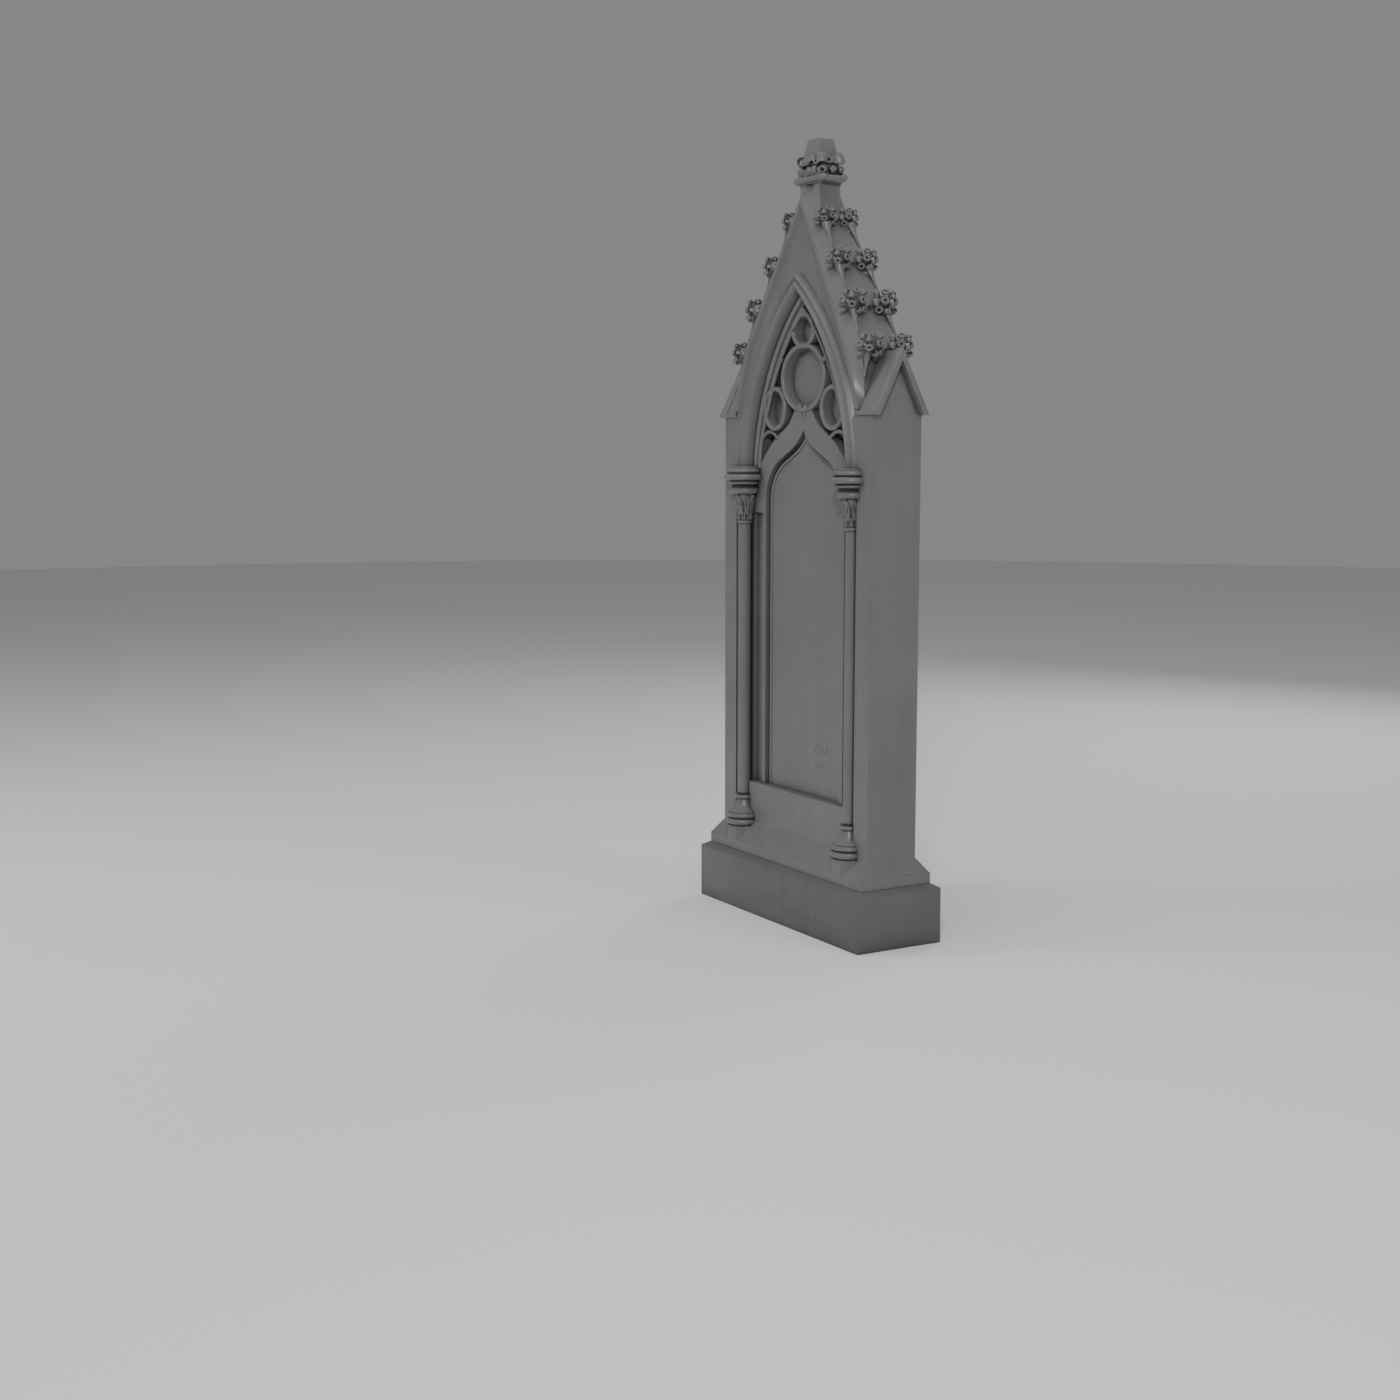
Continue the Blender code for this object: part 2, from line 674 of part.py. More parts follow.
def marks(row, start, face):
    """A row of worn strokes, tilted to either side in turn, as cutters."""
    level, tall, across, count = row
    cutters = []
    for i in range(count):
        x = start + across * i / count
        lean = tall * 0.35 * (-1) ** i
        high = tall * (0.7 + 0.3 * cos(2.4 * i)) / 2
        outline = [
            (x - STROKE_WIDTH / 2 - lean / 2, level - high),
            (x + STROKE_WIDTH / 2 - lean / 2, level - high),
            (x + STROKE_WIDTH / 2 + lean / 2, level + high),
            (x - STROKE_WIDTH / 2 + lean / 2, level + high),
        ]
        cutters.append(prism("stroke", outline, face + BITE, face - STROKE_SINK))
    return cutters


def panel_roll():
    """The roll that runs up the jambs and round the ogee head of the panel."""
    path = at_depth(ogee_points(0.0, Z_SILL - JOINT_GAP), PANEL)
    return sweep("panel_roll", path, rod(PANEL_ROLL_RADIUS, -PANEL_ROLL_INSET, -PANEL_ROLL_RADIUS / 4))


def jamb_shaft(side):
    """The thin shaft between slot and panel, with a ringed capital under the ogee band."""
    top = Z_SLOT_TOP - Z_SILL
    neck = top - JAMB_CAPITAL_HEIGHT
    profile = [(JAMB_SHAFT_RADIUS, -BITE), (JAMB_SHAFT_RADIUS, neck)]
    for ring_foot in (neck, neck + JAMB_CAPITAL_HEIGHT / 2):
        profile.append((JAMB_CAPITAL_RADIUS, ring_foot + JAMB_CAPITAL_HEIGHT * 0.12))
        profile.append((JAMB_CAPITAL_RADIUS, ring_foot + JAMB_CAPITAL_HEIGHT * 0.32))
        profile.append((JAMB_SHAFT_RADIUS, ring_foot + JAMB_CAPITAL_HEIGHT * 0.44))
    profile.append((JAMB_SHAFT_RADIUS, top + BITE))
    middle = -PANEL - JAMB_SHAFT_RADIUS / 2
    return turned("jamb_shaft", profile, side * JAMB_SHAFT_HALF, middle, Z_SILL, 8)


def colonnette_ends(side):
    """Pedestal, base and capital of one colonnette."""
    x = side * COLUMN_OUT
    corner = PEDESTAL_SPAN / 2 / cos(pi / PEDESTAL_SIDES)
    middle = -STEP_FACE + JOINT_GAP + PEDESTAL_SPAN / 2
    stack = ((corner, Z_STEP_TOP - BITE - Z_DIE), (corner, -JOINT_GAP))
    pedestal = turned("pedestal", stack, x, middle, Z_DIE, PEDESTAL_SIDES)
    foot = Z_DIE - 2 * JOINT_GAP
    mouldings = BASE_PROFILE + ((BASE_PROFILE[-1][0], SHAFT_FOOT + 2 * JOINT_GAP),)
    base = turned("base", mouldings, x, -COLUMN_AXIS, foot)
    lower = ((SHAFT_RADIUS, 0.0),) + CAPITAL_PROFILE + (CAPITAL_TOP,)
    capital = turned("capital", lower, x, -COLUMN_AXIS, Z_SHAFT_TOP)
    return [pedestal, base, capital]


def shaft(name, side):
    """The turned shaft between base and capital, a stone of its own."""
    profile = [
        (SHAFT_RADIUS, JOINT_GAP),
        (SHAFT_RADIUS, SHAFT_LENGTH - JOINT_GAP),
    ]
    return turned(name, profile, side * COLUMN_OUT, -COLUMN_AXIS, Z_SHAFT)


def lump(name, centre, size, lobes, relief, rings=5, sides=9):
    """A leafy lump: a ball whose skin swells into lobes."""
    levels = []
    for i in range(rings):
        rise = -pi / 2 + pi * (i + 0.5) / rings
        level = []
        for j in range(sides):
            turn = 2 * pi * j / sides
            swell = 1 + relief * cos(lobes * turn) * cos(rise * 3)
            x = centre[0] + size[0] * swell * cos(rise) * cos(turn)
            y = centre[1] + size[1] * swell * cos(rise) * sin(turn)
            level.append((x, y, centre[2] + size[2] * sin(rise)))
        levels.append(level)
    made = loft(name, levels)
    work = bmesh.new()
    work.from_mesh(made.data)
    bmesh.ops.triangulate(work, faces=work.faces)
    work.to_mesh(made.data)
    work.free()
    return made


def crockets():
    """The leaves and stems up the four hips."""
    made = []
    for level, (wide, tall) in enumerate(zip(CROCKET_WIDTH, CROCKET_TALL)):
        z = Z_EAVES + CROCKET_FIRST_RISE + CROCKET_PITCH * level
        x = hip_half(z) + CROCKET_OUT[level]
        y = hip_depth(z) - CROCKET_SET_BACK[level]
        low = z - STEM_LENGTH
        for side in (-1, 1):
            for face in (-1, 1):
                centre = (side * x, face * y, z)
                made.append(lump("crocket", centre, (wide, wide, tall), CROCKET_LOBES, CROCKET_RELIEF))
                made.append(stem(centre, (side * hip_half(low), face * hip_depth(low), low)))
    return made


def stem(top, foot):
    """A stem that tapers down the hip from one leaf."""
    rings = []
    for point, radius in ((top, STEM_RADIUS), (foot, STEM_TIP_RADIUS)):
        turns = [2 * pi * i / ROD_SIDES for i in range(ROD_SIDES)]
        rings.append([(point[0] + radius * cos(t), point[1] + radius * sin(t), point[2]) for t in turns])
    return loft("stem", rings)


def leaf_band():
    """Two rows of leaves round the band under the stump."""
    made = []
    for row in range(LEAF_ROWS):
        z = Z_LEAVES + LEAF_BAND_HEIGHT * (0.28 + 0.36 * row)
        half = LEAF_BAND_HALF - CORNER_EASE * row
        deep = LEAF_BAND_DEPTH - CORNER_EASE * row
        spots = [(half, 0.0), (half, deep), (half * (1 - row) / 3 + half * row / 2, deep)]
        for x, y in spots:
            for side in (-1, 1):
                for face in ((-1, 1) if y else (1,)):
                    size = (LEAF_RADIUS, LEAF_RADIUS, LEAF_RADIUS)
                    made.append(lump("leaf", (side * x, face * y, z), size, 2, 0.2, 4, 7))
    return made


def headstone_body():
    """The carved stone: masses joined, niche and tracery cut in, then the raised carving added."""
    body = slab()
    masses = [spire()]
    for side in (-1, 1):
        masses += gablet(side)
    merge(body, masses, "UNION")
    merge(body, [field_cut(1), field_cut(-1)] + niche_cuts() + [tracery_pocket()], "DIFFERENCE")
    carving = [hood(), panel_roll()] + arch_rolls()
    carving += [ring(BIG_RING), ring(TOP_RING), ring(SIDE_RING, -1), ring(SIDE_RING, 1)]
    carving += [cusp(-1), cusp(1)]
    for side in (-1, 1):
        carving += [jamb_shaft(side), eave_roll(side, -1), eave_roll(side, 1)]
        carving += colonnette_ends(side)
    carving += crockets() + leaf_band()
    merge(body, carving, "UNION")
    return merge(body, marks(PANEL_MARKS, PANEL_MARKS_START, PANEL), "DIFFERENCE")


def clean(piece):
    """Closes hairline seams that the carving leaves and turns the faces outwards."""
    work = bmesh.new()
    work.from_mesh(piece.data)
    bmesh.ops.remove_doubles(work, verts=work.verts, dist=0.00002)
    bmesh.ops.dissolve_degenerate(work, edges=work.edges, dist=0.00001)
    bmesh.ops.triangulate(work, faces=work.faces)
    bmesh.ops.recalc_face_normals(work, faces=work.faces)
    work.to_mesh(piece.data)
    work.free()


carved = stone("carved_stone", (0.150, 0.150, 0.150), 0.45)
plain = stone("plinth_stone", (0.125, 0.125, 0.125), 0.55)
polished = stone("shaft_stone", (0.145, 0.145, 0.145), 0.35)

pieces = {
    base_plinth(): plain,
    headstone_body(): carved,
    shaft("left_shaft", -1): polished,
    shaft("right_shaft", 1): polished,
}
for piece, finish in pieces.items():
    clean(piece)
    piece.data.materials.clear()
    piece.data.materials.append(finish)
    piece.data.shade_smooth()
    piece.data.set_sharp_from_angle(angle=radians(35))
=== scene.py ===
"""The looks of a gothic headstone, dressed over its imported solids.

Metres, +Z up. The carved front faces -Y, and the origin is the middle of the underside.
"""

import json
from math import acos, asin, atan2, cos, exp, pi, radians, sin, sqrt, tan, tanh

import bmesh
import bpy
from mathutils import Matrix, Vector

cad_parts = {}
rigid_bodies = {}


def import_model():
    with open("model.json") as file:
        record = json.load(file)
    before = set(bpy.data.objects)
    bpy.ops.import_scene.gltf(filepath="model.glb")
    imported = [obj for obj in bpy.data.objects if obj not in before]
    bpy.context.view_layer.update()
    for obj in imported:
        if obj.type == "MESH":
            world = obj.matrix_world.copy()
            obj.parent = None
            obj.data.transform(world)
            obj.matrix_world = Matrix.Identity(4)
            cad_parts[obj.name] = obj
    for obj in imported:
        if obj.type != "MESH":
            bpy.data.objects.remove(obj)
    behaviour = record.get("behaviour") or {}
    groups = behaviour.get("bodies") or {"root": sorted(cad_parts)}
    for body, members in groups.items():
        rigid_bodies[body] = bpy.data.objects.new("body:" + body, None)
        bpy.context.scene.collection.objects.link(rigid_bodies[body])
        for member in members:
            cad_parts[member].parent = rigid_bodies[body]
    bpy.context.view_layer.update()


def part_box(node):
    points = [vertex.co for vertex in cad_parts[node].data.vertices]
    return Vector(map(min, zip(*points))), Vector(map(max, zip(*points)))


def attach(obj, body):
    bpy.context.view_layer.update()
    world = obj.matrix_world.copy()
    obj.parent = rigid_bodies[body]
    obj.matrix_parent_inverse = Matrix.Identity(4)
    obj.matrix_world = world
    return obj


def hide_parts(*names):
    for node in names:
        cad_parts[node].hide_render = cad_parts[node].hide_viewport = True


for old in list(bpy.data.objects):
    bpy.data.objects.remove(old, do_unlink=True)
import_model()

# The view stands to the right of the front, a little over a metre up, and looks slightly down.
# Lens, place and heading are those that the perspective of the stone's edges gives.
view_place = (3.7777660, -2.5111612, 1.1267042)
heading = 2.615207431686054
dip = 0.1329437983364917
bpy.ops.object.select_all(action="DESELECT")
bpy.ops.object.camera_add(location=view_place)
camera = bpy.context.object
camera.name = "camera"
sight = Vector((cos(heading) * cos(dip), sin(heading) * cos(dip), -sin(dip)))
camera.rotation_euler = sight.to_track_quat("-Z", "Y").to_euler()
camera.data.lens = 50
camera.data.sensor_width = 36
camera.data.clip_end = 100
bpy.context.scene.camera = camera

# The plinth is one squared block of dense dark grey stone, bedded flat on the ground.
# Its faces are dressed smooth, and its top is weathered up to the step that stands on it.
# A worn row of shallow strokes crosses its front, and one small chip is lost from its top edge.
ground_joint = 0.0003
plinth_half = (0.3422, 0.1136)
plinth_tall = 0.1262
plinth_weathering = 0.0104
step_half = (0.3262, 0.0944)
worn_arris = 0.0011
stroke_radius = 0.0015
stroke_sink = 0.0008


def take_up(piece):
    """Makes one piece the only one that the next operators work on."""
    bpy.ops.object.select_all(action="DESELECT")
    bpy.context.view_layer.objects.active = piece
    piece.select_set(True)


def joined(pieces):
    """Several pieces gathered into the first of them."""
    bpy.ops.object.select_all(action="DESELECT")
    for piece in pieces:
        piece.select_set(True)
    bpy.context.view_layer.objects.active = pieces[0]
    bpy.ops.object.join()
    return bpy.context.object


def around(count, shift=0.0):
    """The turns of evenly spaced points round a full circle."""
    return [2 * pi * (i + shift) / count for i in range(count)]


def drawn_up(name, levels):
    """A stone drawn up from its first outline, with its last face extruded to each new outline."""
    bpy.ops.object.select_all(action="DESELECT")
    bpy.ops.mesh.primitive_circle_add(vertices=len(levels[0]), fill_type="NGON")
    piece = bpy.context.object
    piece.name = name
    bpy.ops.object.mode_set(mode="EDIT")
    shape = bmesh.from_edit_mesh(piece.data)
    for corner, place in zip(shape.verts, levels[0]):
        corner.co = place
    bmesh.update_edit_mesh(piece.data)
    bpy.ops.mesh.select_all(action="SELECT")
    lift = Vector((0.0, 0.0, 9.0))
    before = [Vector(place) for place in levels[0]]
    for level in levels[1:]:
        bpy.ops.mesh.extrude_region_move(TRANSFORM_OT_translate={"value": lift})
        shape = bmesh.from_edit_mesh(piece.data)
        for corner in shape.verts:
            if corner.select:
                home = corner.co - lift
                nearest = min(range(len(before)), key=lambda i: (home - before[i]).length_squared)
                corner.co = level[nearest]
        bmesh.update_edit_mesh(piece.data)
        before = [Vector(place) for place in level]
    bpy.ops.mesh.select_all(action="SELECT")
    bpy.ops.mesh.normals_make_consistent(inside=False)
    bpy.ops.object.mode_set(mode="OBJECT")
    return piece


def rectangle(half_x, half_y, z):
    """The four corners of a level rectangle."""
    return [(half_x, -half_y, z), (half_x, half_y, z), (-half_x, half_y, z), (-half_x, -half_y, z)]


def carve(piece, tool, operation="DIFFERENCE"):
    """Cuts a shape out of a stone, or joins it on."""
    step = piece.modifiers.new("carving", "BOOLEAN")
    step.solver = "EXACT"
    step.operation = operation
    step.object = tool
    take_up(piece)
    bpy.ops.object.modifier_apply(modifier=step.name)
    bpy.data.objects.remove(tool, do_unlink=True)
    bpy.ops.object.mode_set(mode="EDIT")
    bpy.ops.mesh.select_all(action="SELECT")
    bpy.ops.mesh.remove_doubles(threshold=0.00001)
    bpy.ops.object.mode_set(mode="OBJECT")
    return piece


def soften(piece, width, angle=30.0):
    """Rounds the sharp arrises of a stone a little, as wear does."""
    step = piece.modifiers.new("wear", "BEVEL")
    step.width = width
    step.segments = 2
    step.limit_method = "ANGLE"
    step.angle_limit = radians(angle)
    take_up(piece)
    bpy.ops.object.modifier_apply(modifier=step.name)
    return piece


def chip(piece, place, size, turn):
    """Knocks a small shell-shaped chip out of an arris."""
    bpy.ops.object.select_all(action="DESELECT")
    bpy.ops.mesh.primitive_ico_sphere_add(subdivisions=1, radius=1.0, location=place)
    flake = bpy.context.object
    flake.scale = size
    flake.rotation_euler = (turn, turn * 0.7, turn * 1.3)
    bpy.ops.object.transform_apply(location=True, rotation=True, scale=True)
    return carve(piece, flake)


def rod(name, start, end, radius, sides=12):
    """A round rod with blunt ends, from one point to another."""
    along = Vector(end) - Vector(start)
    axis = along.normalized()
    across = axis.orthogonal().normalized()
    aside = axis.cross(across)
    end_turns = [radians(turn) for turn in (-75, -50, -25, 0)]
    stations = [(radius * (1 + sin(turn)), radius * cos(turn)) for turn in end_turns]
    stations += [(along.length - lift, reach) for lift, reach in reversed(stations)]
    levels = []
    for lift, reach in stations:
        middle = Vector(start) + axis * lift
        ring = [middle + (across * cos(t) + aside * sin(t)) * reach for t in around(sides)]
        levels.append(ring)
    return drawn_up(name, levels)


def strike(piece, lines, y):
    """Cuts separate shallow strokes into an upright face, from lines given in X and Z."""
    cuts = []
    for x, z, end_x, end_z in lines:
        cuts.append(rod("stroke", (x, y, z), (end_x, y, end_z), stroke_radius))
    return carve(piece, joined(cuts))


def stone_finish(name, tone, roughness):
    """Dense grey stone: patches, grain, rain streaks, dirt and painted shade in its hollows, and
    painted shade darkening it towards its foot.
    """
    material = bpy.data.materials.new(name)
    material.use_nodes = True
    nodes = material.node_tree.nodes
    links = material.node_tree.links
    shader = nodes["Principled BSDF"]
    place = nodes.new("ShaderNodeTexCoord")

    def noise(scale, detail, stretch=None):
        made = nodes.new("ShaderNodeTexNoise")
        made.inputs["Scale"].default_value = scale
        made.inputs["Detail"].default_value = detail
        made.inputs["Roughness"].default_value = 0.55
        source = place.outputs["Object"]
        if stretch:
            mapping = nodes.new("ShaderNodeMapping")
            mapping.inputs["Scale"].default_value = stretch
            links.new(source, mapping.inputs["Vector"])
            source = mapping.outputs["Vector"]
        links.new(source, made.inputs["Vector"])
        return made.outputs["Fac"]

    def ranged(value, low, high, start=0.3, end=0.7):
        made = nodes.new("ShaderNodeMapRange")
        made.inputs["From Min"].default_value = start
        made.inputs["From Max"].default_value = end
        made.inputs["To Min"].default_value = low
        made.inputs["To Max"].default_value = high
        links.new(value, made.inputs["Value"])
        return made.outputs["Result"]

    def times(first, second):
        made = nodes.new("ShaderNodeMath")
        made.operation = "MULTIPLY"
        links.new(first, made.inputs[0])
        links.new(second, made.inputs[1])
        return made.outputs["Value"]

    def hollow_darkening(distance, darkest):
        made = nodes.new("ShaderNodeAmbientOcclusion")
        made.samples = 8
        made.inputs["Distance"].default_value = distance
        return ranged(made.outputs["AO"], darkest, 1.0, 0.20, 0.80)

    patches = ranged(noise(4.2, 3.0), 0.93, 1.07)
    grain = ranged(noise(420.0, 4.0), 0.93, 1.07)
    rain = ranged(noise(1.0, 4.0, (34.0, 34.0, 1.6)), 0.95, 1.05)
    # Ambient occlusion darkens the hollows: the close, strong one is partly dirt and partly
    # painted shade, and the wider one is painted shade in the deep reveals.
    dirt_and_painted_shade = times(hollow_darkening(0.011, 0.40), hollow_darkening(0.040, 0.72))
    veins = nodes.new("ShaderNodeTexVoronoi")
    veins.feature = "DISTANCE_TO_EDGE"
    veins.inputs["Scale"].default_value = 2.6
    sway = nodes.new("ShaderNodeVectorMath")
    sway.operation = "ADD"
    drift = nodes.new("ShaderNodeTexNoise")
    drift.inputs["Scale"].default_value = 1.7
    drift.inputs["Detail"].default_value = 3.0
    links.new(place.outputs["Object"], drift.inputs["Vector"])
    links.new(place.outputs["Object"], sway.inputs[0])
    links.new(drift.outputs["Color"], sway.inputs[1])
    links.new(sway.outputs["Vector"], veins.inputs["Vector"])
    vein = ranged(veins.outputs["Distance"], 1.07, 1.0, 0.0, 0.006)
    parts = nodes.new("ShaderNodeSeparateXYZ")
    links.new(place.outputs["Object"], parts.inputs["Vector"])
    # Painted shade: the stone darkens over its lowest 0.17 m, standing in for the light falling
    # off near the floor.
    painted_foot_shade = ranged(parts.outputs["Z"], 0.66, 1.0, 0.0, 0.17)
    shade = times(times(times(patches, grain), times(rain, dirt_and_painted_shade)), times(vein, painted_foot_shade))
    colour = nodes.new("ShaderNodeMix")
    colour.data_type = "RGBA"
    colour.inputs["A"].default_value = (0.0, 0.0, 0.0, 1.0)
    colour.inputs["B"].default_value = (tone[0], tone[1], tone[2], 1.0)
    colour.clamp_factor = False
    links.new(shade, colour.inputs["Factor"])
    links.new(colour.outputs["Result"], shader.inputs["Base Color"])
    polish = ranged(noise(11.0, 3.0), roughness - 0.05, roughness + 0.07)
    links.new(polish, shader.inputs["Roughness"])
    tooling = nodes.new("ShaderNodeBump")
    tooling.inputs["Strength"].default_value = 0.20
    tooling.inputs["Distance"].default_value = 0.0012
    links.new(noise(26.0, 2.0), tooling.inputs["Height"])
    pores = nodes.new("ShaderNodeBump")
    pores.inputs["Strength"].default_value = 0.10
    pores.inputs["Distance"].default_value = 0.0003
    links.new(noise(700.0, 2.0), pores.inputs["Height"])
    links.new(tooling.outputs["Normal"], pores.inputs["Normal"])
    links.new(pores.outputs["Normal"], shader.inputs["Normal"])
    return material


def finish(piece, material, node=None, angle=32.0):
    """Gives a stone its finish, and sets it on the one body of the headstone."""
    piece.data.materials.clear()
    piece.data.materials.append(material)
    take_up(piece)
    bpy.ops.object.shade_smooth_by_angle(angle=radians(angle))
    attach(piece, "root")
    if node:
        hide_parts(node)
    return piece


plinth = drawn_up(
    "plinth",
    [
        rectangle(plinth_half[0], plinth_half[1], 0.0),
        rectangle(plinth_half[0], plinth_half[1], plinth_tall),
        rectangle(step_half[0], step_half[1], plinth_tall + plinth_weathering),
    ],
)
soften(plinth, worn_arris, 5.0)
chip(plinth, (0.3432, 0.0290, 0.1270), (0.0040, 0.0064, 0.0034), 0.4)
worn_row = []
for i in range(7):
    x = 0.0420 + 0.0330 * i
    lean = 0.0040 * sin(2.3 * i)
    worn_row.append((x - lean, 0.0345, x + lean, 0.0530))
    low = 0.0360 + 0.0030 * (i % 2)
    high = 0.0450 + 0.0030 * (i % 3)
    worn_row.append((x + 0.0100, low, x + 0.0165, high))
strike(plinth, worn_row, -plinth_half[1] - stroke_sink)
plinth_stone = stone_finish("plinth_stone", (0.118, 0.118, 0.120), 0.38)
finish(plinth, plinth_stone, "base_plinth")

# The main stone is one block: a step, a weathering and the upright slab, with a gabled head.
# Small saddleback gablets cover its two ends, and a tapering spire rises between the gables.
# All of it was sawn and dressed as one mass before the niche and the mouldings were cut.
step_foot = plinth_tall + plinth_weathering + ground_joint
step_top = step_foot + 0.0223
weathering_tall = 0.0351
die_foot = step_top + weathering_tall
die_half = (0.3068, 0.0660)
eaves = die_foot + 0.9867
eave_rise = 0.0070
ridge_rise = 0.1390
ridge = eaves + ridge_rise
eave_out = 0.0041
gable_foot = eaves + 0.0145
apex = eaves + 0.4905
rake_slope = 0.627
rake_bend = 0.18
rake_spread = 0.13
coping_out = 0.0036
coping_lean = 0.0505
lean_start = 0.1690
neck_foot = eaves + 0.4590
neck_tall = 0.0630
neck_half = (0.0536, 0.0333)
hip_bend = 0.215
hip_spread = 0.045
hip_batter = 0.0619
hip_deepest = 0.053
crocket_lifts = (0.1495, 0.2465, 0.3435, 0.4405)
hollow_tall = 0.0930
hollow_deep = 0.0085
bite = 0.0040
carved_stone = stone_finish("carved_stone", (0.147, 0.147, 0.148), 0.35)


def gable_front(z):
    """How far the coping stands in front of the middle of the slab."""
    return die_half[1] + coping_out - coping_lean * max(0.0, z - eaves - lean_start)


def rake_half(z):
    """Half the width of the gable at a height: straight above, drawn in at its foot."""
    straight = rake_slope * (apex - z)
    past = straight - rake_bend
    if past <= 0:
        return straight
    return rake_bend + rake_spread * (1 - exp(-past / rake_spread))


def hip_half(z):
    """Half the width of the spire at a height: straight above, upright at its foot."""
    straight = neck_half[0] + rake_slope * (neck_foot - z)
    past = straight - hip_bend
    if past <= 0:
        return straight
    return hip_bend + hip_spread * tanh(past / hip_spread)


def hip_depth(z):
    """Half the depth of the spire at its hips."""
    return min(neck_half[1] + hip_batter * (neck_foot - z), hip_deepest)


def smooth_between(low, high, share):
    """A value between two others, easing out of the first and into the second."""
    share = min(1.0, max(0.0, share))
    return low + (high - low) * (3 * share * share - 2 * share * share * share)


def end_hollow(z, spot):
    """How deep the end face is hollowed between its hips, arched under each pair of crockets."""
    depth = 0.0
    for lift in crocket_lifts:
        below = eaves + lift - z
        if -0.004 < below < hollow_tall:
            past = below - 0.006 - 0.030 * spot * spot
            opening = smooth_between(0.0, hollow_deep, past / 0.007)
            closing = smooth_between(0.0, 1.0, (hollow_tall - below) / 0.030)
            depth = max(depth, opening * closing)
    if z > eaves + crocket_lifts[-1]:
        depth = smooth_between(0.0, 0.0035, (z - eaves - crocket_lifts[-1]) / 0.012)
    return depth


def course(front_half, front, hip, deep, z):
    """One course of the spire: two gable faces, four sloping strips and two hollowed ends."""
    mid = (front_half * 0.5 + hip * 0.5, front * 0.5 + deep * 0.5)
    dish = 0.0012 if front - deep > 0.012 else 0.0
    right = [(front_half, -front), (mid[0] - dish * 0.5, -mid[1] + dish), (hip, -deep)]
    for spot in (-0.84, -0.62, -0.36, -0.12, 0.12, 0.36, 0.62, 0.84):
        roundness = sqrt(max(0.0, 1 - spot ** 4))
        right.append((hip - end_hollow(z, spot) * roundness, deep * spot))
    right += [(hip, deep), (mid[0] - dish * 0.5, mid[1] - dish), (front_half, front)]
    return [(x, y, z) for x, y in right] + [(-x, -y, z) for x, y in right]


def spire_courses():
    """The spire from the eaves to the top of the neck."""
    courses = []
    levels = [eaves - bite, eaves + eave_rise - ground_joint]
    levels += [gable_foot + (neck_foot - gable_foot) * i / 120 for i in range(121)]
    for z in levels:
        front = gable_front(z) if z >= gable_foot else die_half[1] - bite
        hip = hip_half(z)
        rake = min(rake_half(z), hip - ground_joint)
        courses.append(course(rake, front, hip, hip_depth(z), z))
    tip = gable_front(apex)
    for i in range(31):
        share = i / 30
        z = apex + neck_tall * 0.96 * share
        waist = smooth_between(0.0412, 0.0398, share / 0.25)
        flare = max(0.0, share - 0.30) / 0.70
        half = waist + 0.0080 * flare ** 2
        deep = 0.0290 + 0.0046 * flare ** 2
        scoop = max(0.0, 1 - share / 0.42)
        front = deep + 0.0002 + (tip - deep) * scoop ** 2.4
        front_half = ground_joint + (half - 0.0016) * min(1.0, (share / 0.40) ** 0.75)
        courses.append(course(front_half, front, half, deep - 0.0016, z))
    return courses


def run_through(name, outline, front, back):
    """An outline in X and Z, run through from one distance in front to another."""
    return drawn_up(name, [[(x, -y, z) for x, z in outline] for y in (front, back)])


def run_along(name, outline, start, end):
    """An outline in Y and Z, run along X."""
    return drawn_up(name, [[(x, y, z) for y, z in outline] for x in (start, end)])


slab = drawn_up(
    "carved_slab",
    [
        rectangle(step_half[0], step_half[1], step_foot),
        rectangle(step_half[0], step_half[1], step_top),
        rectangle(die_half[0], die_half[1], die_foot),
        rectangle(die_half[0], die_half[1], eaves + eave_rise),
    ],
)
carve(slab, drawn_up("spire", spire_courses()), "UNION")
for side in (-1, 1):
    reach = die_half[1] + eave_out
    roof = [(-die_half[1] + bite, eaves - bite), (-reach, eaves), (0.0, ridge), (reach, eaves)]
    roof.append((die_half[1] - bite, eaves - bite))
    carve(slab, run_along("gablet", roof, side * 0.045, side * die_half[0]), "UNION")

# Each gable has a narrow raised coping, with a shallow field sunk between its two rakes.
# The field was dressed back with the chisel, and slopes up to the coping all round.
# The back is worked in the same way, so the stone looks finished from behind.


def rakes(inset, foot, steps=12):
    """The gable's outline, moved in by inset, from its left foot over the apex to its right."""
    aside = inset * sqrt(1 + rake_slope ** 2)
    turn = apex - rake_bend / rake_slope
    right = []
    for i in range(steps + 1):
        z = foot + (turn - foot) * i / steps
        right.append((rake_half(z) - aside, z))
    right.append((0.0, apex - aside / rake_slope))
    return [(-x, z) for x, z in right] + right[-2::-1]


field_foot = gable_foot - 0.035
field_clear = 0.0984
field_steps = (
    (0.0097, -0.001, 0.0012),
    (0.0118, 0.006, -0.0026),
    (0.0162, 0.022, -0.0092),
    (0.0205, 0.035, -0.0110),
)
for face in (-1, 1):
    levels = [[(x, face * field_clear, z) for x, z in rakes(0.0100, field_foot)]]
    for inset, lift, out in field_steps:
        outline = rakes(inset, field_foot + lift)
        levels.append([(x, face * (gable_front(z) + out), z) for x, z in outline])
    carve(slab, drawn_up("field", levels))

